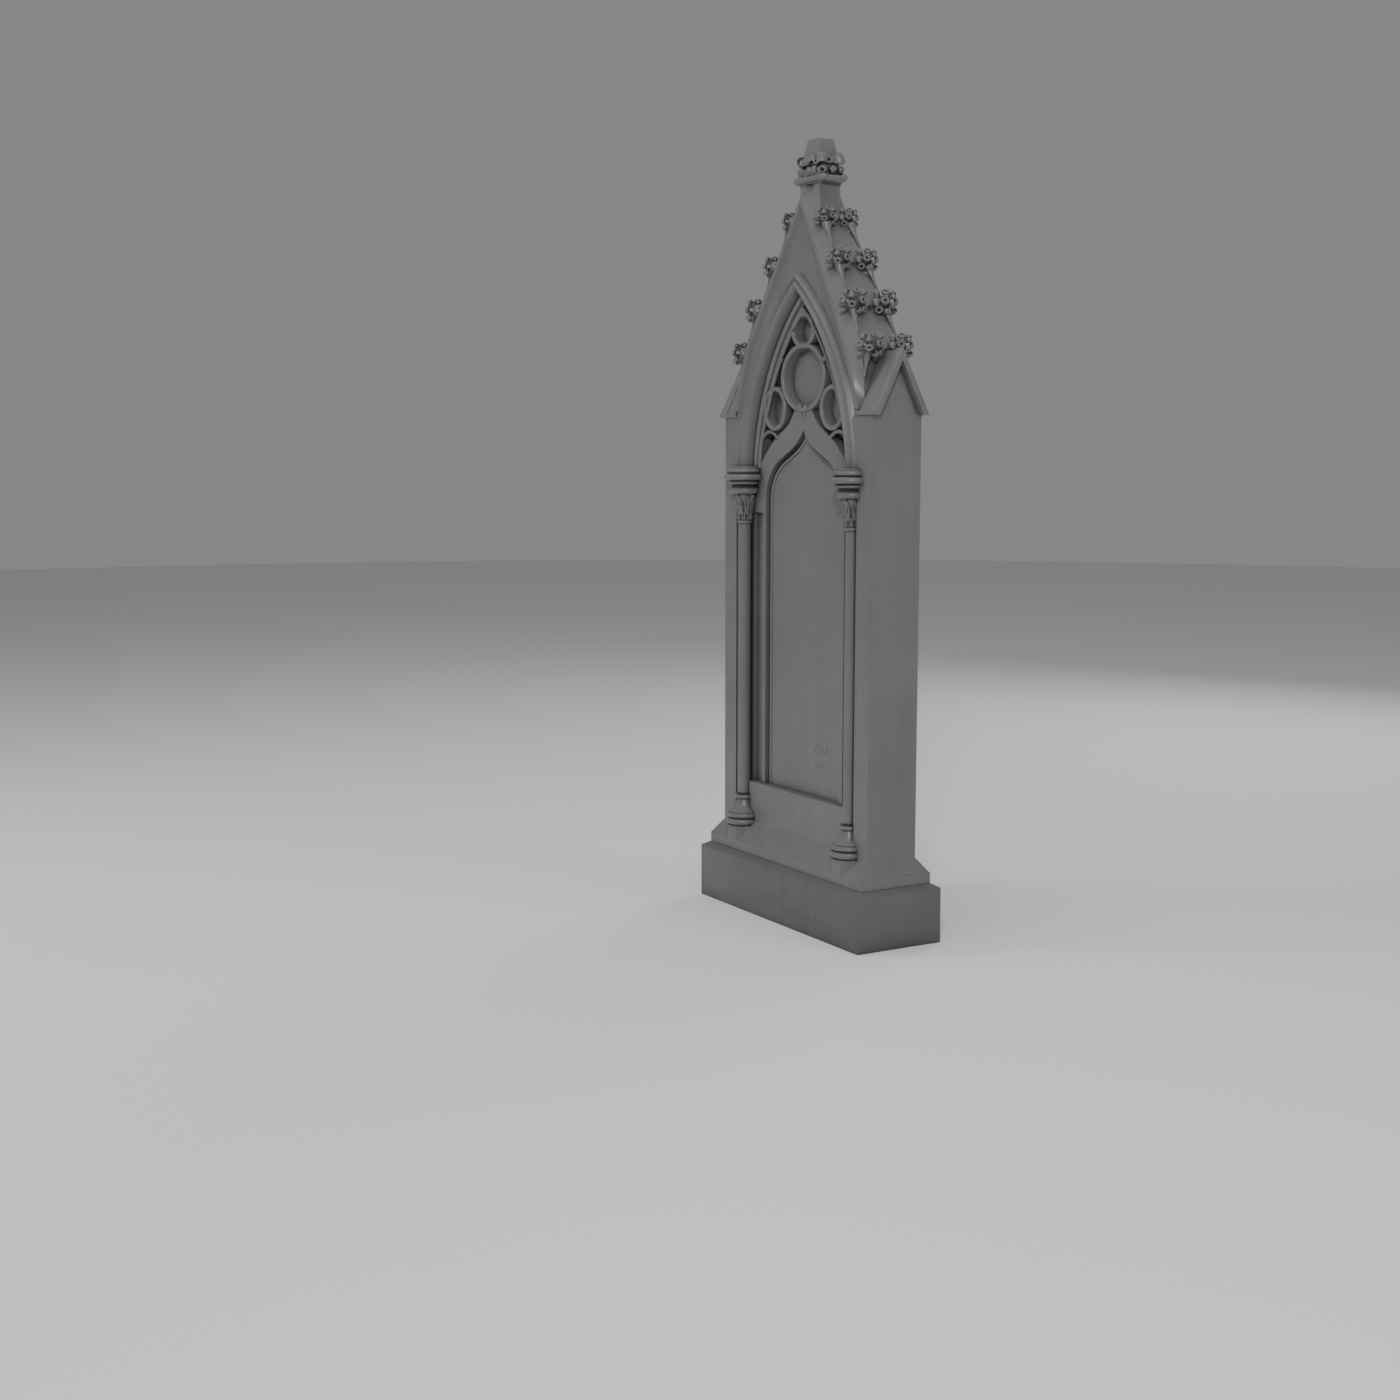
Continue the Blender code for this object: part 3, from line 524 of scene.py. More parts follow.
# The niche is cut into the front: a rebated surround, a sloping sill and a pointed head.
# A deep slot stands behind each colonnette, and a thinner panel is sunk between the jambs.
# The masons left the ground of the tracery deepest, so its bars stand out against shade.
sill_top = die_foot + 0.1072
sill_back = 0.0105
sill_front = die_half[1] - sill_back
niche_half = 0.2465
rebate_half = 0.2545
rebate_deep = 0.0035
wall = die_half[1] - 0.0235
panel = wall - 0.0105
pocket_floor = wall - 0.0310
air = step_half[1] + bite
shaft_foot = die_foot + 0.0767
shaft_top = shaft_foot + 0.6570
capital_top = shaft_top + 0.1364
springing = 0.0395
arch_level = capital_top - springing
arch_radius = 0.5750
arch_half = 0.2217
inner_inset = 0.0345
ogee_level = arch_level - 0.0396
panel_half = 0.1585
ogee_low = 0.1060
ogee_high = 0.1280
ogee_slope = radians(26.6)
ogee_tip = radians(57.0)
ogee_straight = 0.0560
quirk_deep = 0.0110
quirk_wide = 0.0160
slot_sides = (0.1720, 0.2080)
slot_top = capital_top - 0.1096
large_ring = (0.0858, 0.0730, 0.0, 0.2431)
scoop_level = 1.7010
scoop_size = (0.0320, 0.0280, 0.0280)
column_out = 0.2265
column_axis = die_half[1] - 0.0070
shaft_radius = 0.0152


def arch(inset, steps=26):
    """The hood's curve, moved in by inset, from its left springing over the apex to its right."""
    radius = arch_radius - inset
    centre = arch_half - arch_radius
    start = asin(springing / radius)
    end = acos(-centre / radius)
    right = []
    for i in range(steps + 1):
        turn = start + (end - start) * i / steps
        right.append((max(0.0, centre + radius * cos(turn)), arch_level + radius * sin(turn)))
    return [(-x, z) for x, z in right] + right[-2::-1]


def ogee(inset, foot, steps=12):
    """The ogee's outline, moved in by inset, from its left foot over the tip to its right foot."""
    low = ogee_low - inset
    high = ogee_high + inset
    centre = panel_half - ogee_low
    right = [(panel_half - inset, foot)]
    for i in range(steps + 1):
        turn = (pi / 2 - ogee_slope) * i / steps
        right.append((centre + low * cos(turn), ogee_level + low * sin(turn)))
    x = right[-1][0] - ogee_straight * cos(ogee_slope)
    z = right[-1][1] + ogee_straight * sin(ogee_slope)
    for i in range(steps + 1):
        turn = ogee_slope + (ogee_tip - ogee_slope) * i / steps
        out = x - high * (sin(turn) - sin(ogee_slope))
        if out > 0.0015:
            right.append((out, z + high * (cos(ogee_slope) - cos(turn))))
    right.append((0.0, right[-1][1] + right[-1][0] * tan(ogee_tip)))
    return [(-x, z) for x, z in right] + right[-2::-1]


def turned(name, profile, x, y, base, steps=64):
    """A turned stone: its profile of radius and height is drawn once and spun upright."""
    bpy.ops.object.select_all(action="DESELECT")
    bpy.ops.mesh.primitive_plane_add(size=0.001, location=(0.0, 0.0, 0.0))
    piece = bpy.context.object
    piece.name = name
    bpy.ops.object.mode_set(mode="EDIT")
    bpy.ops.mesh.select_all(action="SELECT")
    bpy.ops.mesh.merge(type="CENTER")
    here = Vector((x + profile[0][0], y, base + profile[0][1]))
    bpy.ops.transform.translate(value=here)
    for radius, height in profile[1:]:
        there = Vector((x + radius, y, base + height))
        bpy.ops.mesh.extrude_region_move(TRANSFORM_OT_translate={"value": there - here})
        here = there
    bpy.ops.mesh.select_all(action="SELECT")
    bpy.ops.mesh.spin(steps=steps, angle=2 * pi, center=(x, y, base), axis=(0.0, 0.0, 1.0))
    bpy.ops.mesh.select_all(action="SELECT")
    bpy.ops.mesh.remove_doubles(threshold=0.00005)
    bpy.ops.mesh.select_all(action="DESELECT")
    bpy.ops.mesh.select_non_manifold()
    bpy.ops.mesh.edge_face_add()
    bpy.ops.mesh.select_all(action="SELECT")
    bpy.ops.mesh.normals_make_consistent(inside=False)
    bpy.ops.object.mode_set(mode="OBJECT")
    return piece


rise = weathering_tall / (step_half[1] - die_half[1])
sill_edge = step_top + bite * rise
recess = [
    (-step_half[1] + bite, sill_edge),
    (-sill_front, die_foot + sill_back * rise),
    (-sill_front, sill_top),
    (-wall, sill_top),
    (-wall, capital_top - bite),
    (-air, capital_top - bite),
    (-air, sill_edge),
]
rebate_low = die_foot + rebate_deep * rise + 0.0006
rebate = [(-rebate_half, rebate_low), (rebate_half, rebate_low)]
rebate += [(rebate_half, capital_top - bite), (-rebate_half, capital_top - bite)]
carve(slab, run_through("rebate", rebate, air, die_half[1] - rebate_deep))
carve(slab, run_along("niche", recess, -niche_half, niche_half))
head = arch(bite)
head_foot = capital_top - 2 * bite
head = [(head[0][0], head_foot)] + head + [(head[-1][0], head_foot)]
carve(slab, run_through("head", head, air, wall))
for side in (-1, 1):
    slot = [(slot_sides[0], sill_top), (slot_sides[1], sill_top)]
    slot += [(slot_sides[1], slot_top), (slot_sides[0], slot_top)]
    carve(slab, run_through("slot", [(side * x, z) for x, z in slot], air, panel))
    room = shaft_radius + 2 * ground_joint
    socket_top = sill_top - shaft_foot + bite
    socket = [(0.0, -0.002), (room, -0.002), (room, socket_top), (0.0, socket_top)]
    carve(slab, turned("socket", socket, side * column_out, -column_axis, shaft_foot, 32))
carve(slab, run_through("panel", ogee(0.0, sill_top), air, panel))
quirk = run_through("quirk", ogee(0.0003, sill_top + 0.0004), air, panel - quirk_deep)
panel_face = ogee(quirk_wide, sill_top - 0.0100)
carve(quirk, run_through("panel_face", panel_face, air + bite, panel - 0.0150))
carve(slab, quirk)
ground = run_through("ground", arch(inner_inset + 0.0011), air, pocket_floor)
edge = ogee(-0.0550, ogee_level - 0.0550)
edge = [(x, z - smooth_between(0.0, 0.0115, (abs(x) - 0.1000) / 0.0600)) for x, z in edge]
band = run_through("band", edge, air + bite, pocket_floor - bite)
middle = arch_level + large_ring[3]
disc = [(large_ring[0] * cos(t), middle + large_ring[1] * sin(t)) for t in around(64, 0.5)]
carve(band, run_through("disc", disc, air + 2 * bite, pocket_floor - 2 * bite))
carve(slab, carve(ground, band))
for face in (-1, 1):
    bpy.ops.object.select_all(action="DESELECT")
    place = (0.0, face * 0.0520, scoop_level)
    bpy.ops.mesh.primitive_uv_sphere_add(segments=40, ring_count=20, radius=1.0, location=place)
    scoop = bpy.context.object
    scoop.scale = scoop_size
    bpy.ops.object.transform_apply(location=True, rotation=True, scale=True)
    carve(slab, scoop)
worn_rows = []
for i in range(4):
    x = 0.0480 + 0.0150 * i
    lean = 0.0045 * cos(1.9 * i)
    worn_rows.append((x - lean, 0.4040, x + lean, 0.4260))
    worn_rows.append((x + lean, 0.3710, x - lean * 0.4, 0.3860))
strike(slab, worn_rows, -panel - 0.0003)
chip(slab, (0.3272, 0.0380, step_top + 0.0006), (0.0040, 0.0062, 0.0030), 0.5)
chip(slab, (0.3272, 0.0540, step_top + 0.0006), (0.0036, 0.0046, 0.0026), 1.1)
finish(slab, carved_stone, "headstone_body")

# The verges are flat bands along the gablets, which throw rain clear of the ends.
# A small roll runs along each eave to the corner, where the two meet in a blunt nose.
# They are worked on the same block as the slab.
verge_out = 0.0025
verge_wide = 0.0120
eave_radius = 0.0050
for side in (-1, 1):
    reach = die_half[1] + eave_out
    slope = ridge_rise / reach
    low = eaves - ground_joint
    band = [
        (-reach - verge_out, low),
        (0.0, ridge + verge_out * slope),
        (reach + verge_out, low),
        (reach - verge_wide, low),
        (0.0, ridge - verge_wide * slope),
        (-reach + verge_wide, low),
    ]
    name = "verge_left" if side < 0 else "verge_right"
    verge = run_along(name, band, side * 0.2998, side * 0.3272)
    soften(verge, 0.0016)
    for face in (-1, 1):
        middle = (face * (reach - verge_out), eaves + 0.0035)
        ring = []
        for t in around(20):
            ring.append((middle[0] + eave_radius * cos(t), middle[1] + eave_radius * sin(t)))
        carve(verge, run_along("eave", ring, side * 0.2505, side * 0.3242), "UNION")
    finish(verge, carved_stone)

# A bold hood mould follows the pointed arch: a hollow, a flank outside and a deep reveal inside.
# Two round rolls run within it, and both spring from the capitals of the colonnettes.
# The mason cut them with templates, one profile carried round the whole curve.
hood_out = 0.0075
hood_reveal = 0.0140
hood_hollow = 0.0226
hood_wide = 0.0336


def carried(name, path, profile, shares=None):
    """A moulding: its profile of outward and forward steps, carried along a path in X and Z."""
    rings = []
    last = len(path) - 1
    flat = [Vector((p[0], p[2])) for p in path]
    for i, here in enumerate(path):
        into = (flat[max(i, 1)] - flat[max(i, 1) - 1]).normalized()
        out = (flat[min(i + 1, last)] - flat[min(i, last - 1)]).normalized()
        along = (into + out).normalized()
        normal = Vector((-along.y, along.x))
        stretch = 1 / normal.dot(Vector((-into.y, into.x)))
        ring = []
        for outward, forward in profile:
            share = shares[i] if shares and outward > 0 else 1.0
            side = normal * outward * stretch * share
            ring.append((here[0] + side.x, here[1] - forward, here[2] + side.y))
        rings.append(ring)
    return drawn_up(name, rings)


def round_roll(radius, outward, forward, sides=18):
    """The round profile of a roll, beside and in front of the line it follows."""
    return [(outward + radius * cos(t), forward + radius * sin(t)) for t in around(sides)]


def arch_line(forward, inset=0.0):
    """The arch's curve, moved in by inset, with its feet run into the capitals."""
    curve = arch(inset)
    feet = capital_top - bite
    curve = [(curve[0][0], feet)] + curve + [(curve[-1][0], feet)]
    return [(x, -forward, z) for x, z in curve]


deep = die_half[1] + hood_out - wall
profile = [(-hood_reveal, -deep)]
for i in range(1, 9):
    turn = pi / 2 * i / 8
    profile.append((-hood_reveal * cos(turn), -deep * (1 - sin(turn))))
for i in range(1, 8):
    share = i / 8
    profile.append((hood_hollow * share, -0.0060 * sin(pi * share) * 1.15 - 0.0030 * share))
profile += [
    (hood_hollow, -0.0030),
    (0.0242, -0.0042),
    (hood_wide, -0.0185),
    (hood_wide, -deep - bite),
    (-hood_reveal, -deep - bite),
]
line = arch_line(die_half[1] + hood_out)
top = max(point[2] for point in line)
shares = [1 - 0.45 * max(0.0, 1 - (top - point[2]) / 0.24) for point in line]
hood = carried("hood_mould", line, profile, shares)
finish(hood, carved_stone)
rolls = carried("arch_rolls", arch_line(wall, 0.0205), round_roll(0.0080, 0.0, 0.0))
path = []
for outer, inner in zip(arch_line(wall, inner_inset), arch_line(wall, 0.0425)):
    share = smooth_between(0.0, 1.0, (outer[2] - arch_level - 0.0900) / 0.1000)
    path.append([outer[i] + (inner[i] - outer[i]) * share for i in range(3)])
carve(rolls, carried("inner_roll", path, round_roll(0.0052, 0.0, 0.0)), "UNION")
finish(rolls, carved_stone)

# Blind tracery fills the head: one large ring, a small one over it and one at each side.
# Every ring is a bar with a rounded front round a blind disc, and thin cusps join them.
# They were left standing when the ground behind them was cut away.


def leaf_drop(side):
    """The small curled end of the large ring's bar, at one side of its lowest point."""
    bpy.ops.object.select_all(action="DESELECT")
    bpy.ops.mesh.primitive_uv_sphere_add(segments=20, ring_count=12, radius=1.0)
    drop = bpy.context.object
    drop.location = (side * 0.0125, -wall - 0.0015, 1.2005)
    drop.scale = (0.0066, 0.0062, 0.0078)
    bpy.ops.object.transform_apply(location=True, rotation=True, scale=True)
    return drop


def spur(point, root, wide=0.0066):
    """A pointed spur where two bars run together, from its root to its point in X and Z."""
    levels = []
    for i in range(9):
        share = i / 8
        radius = 0.0008 + wide * share ** 1.2
        x = point[0] + (root[0] - point[0]) * share
        z = point[1] + (root[1] - point[1]) * share
        along = Vector((root[0] - point[0], root[1] - point[1])).normalized()
        ring = [(radius * cos(t), radius * sin(t)) for t in around(12)]
        levels.append([(x - along.y * a, -wall + 0.0005 - b, z + along.x * a) for a, b in ring])
    return drawn_up("spur", levels)


bar_half = 0.0060
bar_front = wall - 0.0010
bar = [(bar_half, pocket_floor - bite), (bar_half, bar_front)]
for i in range(1, 8):
    turn = pi * i / 8
    bar.append((bar_half * cos(turn), bar_front + 0.0062 * sin(turn)))
bar += [(-bar_half, bar_front), (-0.0075, wall - 0.0225)]
side_ring = (0.0428, 0.0462, 0.1194, 0.1738)
rings = (
    large_ring,
    (0.0430, 0.0360, 0.0, 0.3501),
    (side_ring[0], side_ring[1], -side_ring[2], side_ring[3]),
    side_ring,
)
tracery = None
for half_x, half_z, out, lift in rings:
    centre = arch_level + lift
    levels = []
    for wide, forward in bar:
        ring = []
        for t in around(64):
            x = out + (half_x + wide) * cos(t)
            ring.append((x, -forward, centre + (half_z + wide) * sin(t)))
        levels.append(ring)
    ring = drawn_up("tracery_rings", levels)
    tracery = carve(tracery, ring, "UNION") if tracery else ring
for side in (-1, 1):
    path = []
    for i in range(19):
        turn = radians(134 - 128 * i / 18)
        x = 0.1430 + 0.0480 * cos(turn)
        path.append((side * x, -wall + 0.0020, arch_level + 0.0620 + 0.0590 * sin(turn)))
    path = path if side > 0 else path[::-1]
    carve(tracery, carried("cusp", path, round_roll(0.0046, 0.0, 0.0, 14)), "UNION")
for side in (-1, 1):
    carve(tracery, leaf_drop(side), "UNION")
spurs = (((0.1052, 1.3180), (0.0830, 1.3060)), ((0.0590, 1.3845), (0.0385, 1.3740)))
for point, root in spurs:
    for side in (-1, 1):
        carve(tracery, spur((side * point[0], point[1]), (side * root[0], root[1])), "UNION")
for side in (-1, 1):
    carve(tracery, spur((side * 0.0016, 1.1660), (side * 0.0115, 1.2050), 0.0062), "UNION")
finish(tracery, carved_stone)

# A thin roll runs up both sides of the panel and round its ogee head, in a dark quirk.
# A slender shaft stands beside it at each jamb, with a small ringed capital under the band.
jamb_radius = 0.0060
line = [(x, -panel, z) for x, z in ogee(0.0, sill_top - ground_joint)]
panel_roll = carried("panel_roll", line, round_roll(0.0040, -0.0107, -0.0010, 16))
finish(panel_roll, carved_stone)
for side in (-1, 1):
    tall = slot_top - sill_top
    profile = [(0.0, -bite), (jamb_radius, -bite), (jamb_radius, tall - 0.0260)]
    for foot in (tall - 0.0260, tall - 0.0130):
        profile += [(0.0076, foot + 0.0018), (0.0085, foot + 0.0036)]
        profile += [(0.0076, foot + 0.0052), (jamb_radius, foot + 0.0062)]
    profile += [(jamb_radius, tall + bite), (0.0, tall + bite)]
    name = "jamb_shaft_left" if side < 0 else "jamb_shaft_right"
    jamb = turned(name, profile, side * 0.1660, -panel - 0.0030, sill_top, 24)
    finish(jamb, carved_stone)

# Each colonnette stands on an octagonal pedestal with a turned base of two bold rolls.
# Its capital has a leafy bell under a stack of turned rings, worked on the main block.
# The polished shaft between them is a separate stone, turned and set between base and capital.
pedestal_half = 0.0430
shaft_edge = 0.0006
shaft_bevel = 0.0008
shaft_stone = stone_finish("shaft_stone", (0.142, 0.142, 0.144), 0.33)


def rounded(rolls):
    """A turned profile of points and rolls, each roll given by its reach and its two heights."""
    made = []
    for reach, low, high in rolls:
        if low == high:
            made.append((reach, low))
            continue
        half = (high - low) / 2
        for i in range(9):
            turn = -pi / 2 + pi * i / 8
            made.append((reach - half + half * cos(turn), (low + high) / 2 + half * sin(turn)))
    return made


base_rolls = (
    (0.0000, 0.0, 0.0),
    (0.0400, 0.0, 0.0),
    (0.0440, 0.0004, 0.0176),
    (0.0385, 0.0180, 0.0180),
    (0.0430, 0.0184, 0.0306),
    (0.0375, 0.0330, 0.0330),
    (0.0290, 0.0395, 0.0395),
    (0.0230, 0.0440, 0.0440),
    (0.0202, 0.0490, 0.0490),
    (0.0188, 0.0600, 0.0600),
    (0.0225, 0.0630, 0.0745),
    (0.0205, 0.0767, 0.0767),
    (0.0000, 0.0767, 0.0767),
)
ring_rolls = (
    (0.0262, 0.0700, 0.0700),
    (0.0390, 0.0712, 0.0868),
    (0.0330, 0.0885, 0.0885),
    (0.0290, 0.0910, 0.0910),
    (0.0330, 0.0932, 0.0932),
    (0.0392, 0.0936, 0.1026),
    (0.0400, 0.1032, 0.1032),
    (0.0515, 0.1036, 0.1180),
    (0.0420, 0.1195, 0.1195),
    (0.0450, 0.1200, 0.1320),
    (0.0390, 0.1364, 0.1364),
    (0.0000, 0.1364, 0.1364),
)

bell_leaves = ((8, 0.22, 0.76, 0.36, 0.0), (8, 0.0, 0.34, 0.34, 0.5))


def bell_relief(turn, height):
    """How far the bell's carving stands out: tall leaves, and short ones between their feet."""
    share = (height - 0.0085) / 0.0600
    if share < 0 or share > 1:
        return 0.0
    relief = 0.0
    for count, start, tall, wide, shift in bell_leaves:
        along = (share - start) / tall
        if along <= 0 or along >= 1:
            continue
        across = (turn * count / (2 * pi) + shift) % 1.0 - 0.5
        edge = wide * sin(pi * along ** 0.7) ** 0.7
        away = (abs(across) - edge) / 0.085
        eye = (across / 0.080) ** 2 + ((along - 0.55) / 0.24) ** 2
        inside = min(1.0, max(0.0, (edge - abs(across)) / 0.10))
        relief = max(relief, 0.0044 * exp(-away * away), 0.0028 * inside * min(1.0, eye))
    return relief - 0.0018


for side in (-1, 1):
    word = "left" if side < 0 else "right"
    x = side * column_out
    corner = pedestal_half / cos(pi / 8)
    middle = -step_half[1] + ground_joint + pedestal_half
    foot = [(x + corner * cos(t), middle + corner * sin(t)) for t in around(8, 0.5)]
    levels = [[(a, b, z) for a, b in foot] for z in (step_top - bite, die_foot - ground_joint)]
    base = drawn_up("base_" + word, levels)
    soften(base, 0.0007)
    base_foot = die_foot - 2 * ground_joint
    carve(base, turned("rolls", rounded(base_rolls), x, -column_axis, base_foot), "UNION")
    finish(base, carved_stone)
    bell = [(0.0, 0.0), (0.0165, 0.0), (0.0185, 0.0012), (0.0190, 0.0035)]
    bell += [(0.0185, 0.0058), (0.0168, 0.0075)]
    for i in range(49):
        share = i / 48
        bell.append((0.0166 + 0.0098 * share ** 2.4, 0.0085 + 0.0610 * share))
    capital = turned("capital_" + word, bell + rounded(ring_rolls), x, -column_axis, shaft_top, 96)
    for vertex in capital.data.vertices:
        arm = Vector((vertex.co.x - x, vertex.co.y + column_axis, 0.0))
        if arm.length > 0.010:
            relief = bell_relief(atan2(arm.y, arm.x), vertex.co.z - shaft_top)
            vertex.co += arm.normalized() * relief
    finish(capital, carved_stone)
    low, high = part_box(word + "_shaft")
    profile = [(0.0, 0.0), (shaft_radius - shaft_edge, 0.0), (shaft_radius, shaft_bevel)]
    profile += [(shaft_radius, high.z - low.z - shaft_bevel)]
    profile += [(shaft_radius - shaft_edge, high.z - low.z), (0.0, high.z - low.z)]
    shaft = turned(word + "_column_shaft", profile, x, -column_axis, low.z, 48)
    finish(shaft, shaft_stone, word + "_shaft")

# Curled leaves climb the four hips of the spire, four to a hip, each on its own tapering stem.
# Every crocket is a knot of rolled leaf tips, undercut with the chisel so that it casts shade.
# One was carved as the pattern, and the rest repeat it at the size of their own level.


def leaf_tip(size, place, facing, roll):
    """One rolled leaf tip: a broad tongue that runs outward, and then curls back over."""
    out = Vector(facing).normalized()
    over = Matrix.Rotation(roll, 3, out) @ out.orthogonal().normalized()
    side = out.cross(over)
    path = [(-1.6, -0.56, 0.28, 0.30), (-1.0, -0.66, 0.26, 0.46), (-0.5, -0.72, 0.24, 0.74)]
    for i in range(11):
        turn = radians(-90 + 22 * i)
        reach = 0.74 - 0.016 * i
        path.append((reach * cos(turn), reach * sin(turn), 0.23 - 0.004 * i, 1.02 - 0.040 * i))
    levels = []
    for i, (x, y, thick, broad) in enumerate(path):
        before = path[max(i - 1, 0)]
        after = path[min(i + 1, len(path) - 1)]
        run = Vector((after[0] - before[0], after[1] - before[1])).normalized()
        ring = []
        for t in around(14):
            flat = Vector((x, y)) + Vector((-run.y, run.x)) * thick * cos(t)
            spot = out * flat.x + over * flat.y + side * broad * sin(t)
            ring.append(Vector(place) + spot * size)
        levels.append(ring)
    return drawn_up("leaf_tip", levels)


def leaf_eye(size, place, facing):
    """A leaf tip rolled right round and seen from its end: a small ring with an open eye."""
    bpy.ops.object.select_all(action="DESELECT")
    bpy.ops.mesh.primitive_torus_add(
        major_segments=20, minor_segments=10, major_radius=0.70, minor_radius=0.36
    )
    eye = bpy.context.object
    turn = Vector(facing).to_track_quat("Z", "Y").to_matrix().to_4x4()
    spread = Matrix.Diagonal((size, size * 0.86, size * 1.25, 1.0))
    eye.data.transform(Matrix.Translation(place) @ turn @ spread)
    return eye


def blended(pieces, name):
    """Joins carved lumps to one skin and eases the creases between them."""
    whole = joined(pieces)
    whole.name = name
    skin = whole.modifiers.new("skin", "REMESH")
    skin.mode = "VOXEL"
    skin.voxel_size = 0.0012
    bpy.ops.object.modifier_apply(modifier=skin.name)
    ease = whole.modifiers.new("ease", "SMOOTH")
    ease.factor = 0.5
    ease.iterations = 1
    bpy.ops.object.modifier_apply(modifier=ease.name)
    return whole


def tapered_stem(top, foot, wide, narrow, flare):
    """A stem that tapers down from a leaf, and spreads where it meets it."""
    levels = []
    for i in range(9):
        share = i / 8
        radius = narrow + (wide - narrow) * share ** 1.5 + flare * max(0.0, share - 0.35) ** 2
        spot = Vector(foot).lerp(Vector(top), share)
        ring = [(spot.x + radius * cos(t), spot.y + radius * sin(t), spot.z) for t in around(12)]
        levels.append(ring)
    return drawn_up("stem", levels)


tip_places = (
    ((0.009, 0.020, 0.018), (0.3, 0.6, 0.9), 0.0080, 0.4),
    ((0.009, -0.024, 0.019), (0.4, -0.6, 0.9), 0.0084, 3.3),
    ((0.020, 0.012, 0.012), (0.9, 0.5, 0.4), 0.0076, 2.6),
    ((0.015, -0.030, 0.000), (0.6, -0.9, 0.1), 0.0088, 5.5),
    ((0.004, 0.025, -0.016), (0.1, 0.9, -0.5), 0.0088, 5.0),
    ((0.021, -0.004, -0.018), (0.8, -0.1, -0.6), 0.0086, 1.2),
)
eye_places = (
    ((0.014, -0.003, 0.022), (0.8, -0.4, 0.5), 0.0088),
    ((0.008, 0.029, 0.003), (0.7, 0.7, 0.1), 0.0090),
    ((0.025, -0.012, 0.003), (1.0, -0.3, 0.2), 0.0098),
    ((0.021, 0.012, -0.006), (0.8, 0.6, -0.1), 0.0088),
    ((0.017, -0.022, -0.016), (0.9, -0.5, -0.2), 0.0094),
)
lumps = [leaf_tip(size, place, facing, roll) for place, facing, size, roll in tip_places]
lumps += [leaf_eye(size, place, facing) for place, facing, size in eye_places]
bpy.ops.mesh.primitive_ico_sphere_add(subdivisions=3, radius=1.0)
heart = bpy.context.object
heart_shape = Matrix.Diagonal((0.0130, 0.0210, 0.0170, 1.0))
heart.data.transform(Matrix.Translation((0.000, -0.002, -0.001)) @ heart_shape)
lumps.append(heart)
pattern = blended(lumps, "crocket_pattern")
crocket_steps = (
    (1.00, 0.0110, 0.0120),
    (1.04, 0.0020, 0.0040),
    (0.92, -0.0010, 0.0030),
    (0.80, -0.0030, 0.0030),
)
for side in (-1, 1):
    for face in (-1, 1):
        climbing = []
        for lift, (size, out, back) in zip(crocket_lifts, crocket_steps):
            z = eaves + lift
            spot = Vector((side * (hip_half(z) + out), face * (hip_depth(z) - back), z))
            leaf = pattern.copy()
            leaf.data = pattern.data.copy()
            bpy.context.scene.collection.objects.link(leaf)
            turned_out = Matrix.Diagonal((side * size, face * size, size, 1.0))
            leaf.data.transform(Matrix.Translation(spot) @ turned_out)
            if side * face < 0:
                leaf.data.flip_normals()
            climbing.append(leaf)
            low = z - 0.068
            foot = (side * (hip_half(low) - 0.001), face * (hip_depth(low) - 0.001), low)
            neck = z - 0.012
            head = (side * (hip_half(neck) + out * 0.5), face * (hip_depth(neck) - back), neck)
            climbing.append(tapered_stem(head, foot, 0.0080, 0.0026, 0.016))
        hip = joined(climbing)
        hip.name = "crockets_" + ("front" if face < 0 else "back")
        hip.name += "_left" if side < 0 else "_right"
        finish(hip, carved_stone, angle=50.0)
bpy.data.objects.remove(pattern, do_unlink=True)

# A roll and a band of curled leaves crown the neck, and carried the finial once.
# The finial is lost: only the foot of its four-sided shaft stands, broken off nearly level.
# The break has weathered as smooth as the rest, and nothing of what is lost is put back.
roll_level = neck_foot + neck_tall + 0.0080
leaves_foot = roll_level + 0.0080
stump_foot = leaves_foot + 0.0480
stump_top = stump_foot + 0.0330


def cut_rectangle(half_x, half_y, z, ease):
    """The eight corners of a level rectangle with its corners taken off."""
    quarter = [(half_x - ease, -half_y), (half_x, -half_y + ease)]
    quarter += [(half_x, half_y - ease), (half_x - ease, half_y)]
    return [(x, y, z) for x, y in quarter] + [(-x, -y, z) for x, y in quarter]


crown_levels = (
    (0.0440, 0.0318, roll_level - 0.0110, 0.0030),
    (0.0520, 0.0280, roll_level - 0.0030, 0.0030),
    (0.0500, 0.0265, roll_level + 0.0050, 0.0030),
    (0.0430, 0.0245, leaves_foot + 0.0010, 0.0030),
    (0.0400, 0.0250, leaves_foot + 0.0300, 0.0030),
    (0.0310, 0.0262, stump_foot - 0.0060, 0.0020),
    (0.0300, 0.0256, stump_foot, 0.0012),
    (0.0238, 0.0203, stump_top - 0.0012, 0.0010),
    (0.0230, 0.0196, stump_top, 0.0010),
)
crown = drawn_up("crown", [cut_rectangle(*level) for level in crown_levels])
side_roll_level = roll_level - 0.0022
for side in (-1, 1):
    left = (-0.0635, side * 0.0268, roll_level)
    right = (0.0635, side * 0.0268, roll_level)
    carve(crown, rod("roll", left, right, 0.0085, 20), "UNION")
    front = (side * 0.0545, -0.0290, side_roll_level)
    back = (side * 0.0545, 0.0290, side_roll_level)
    carve(crown, rod("roll", front, back, 0.0076, 20), "UNION")
finish(crown, carved_stone)
lumps = []
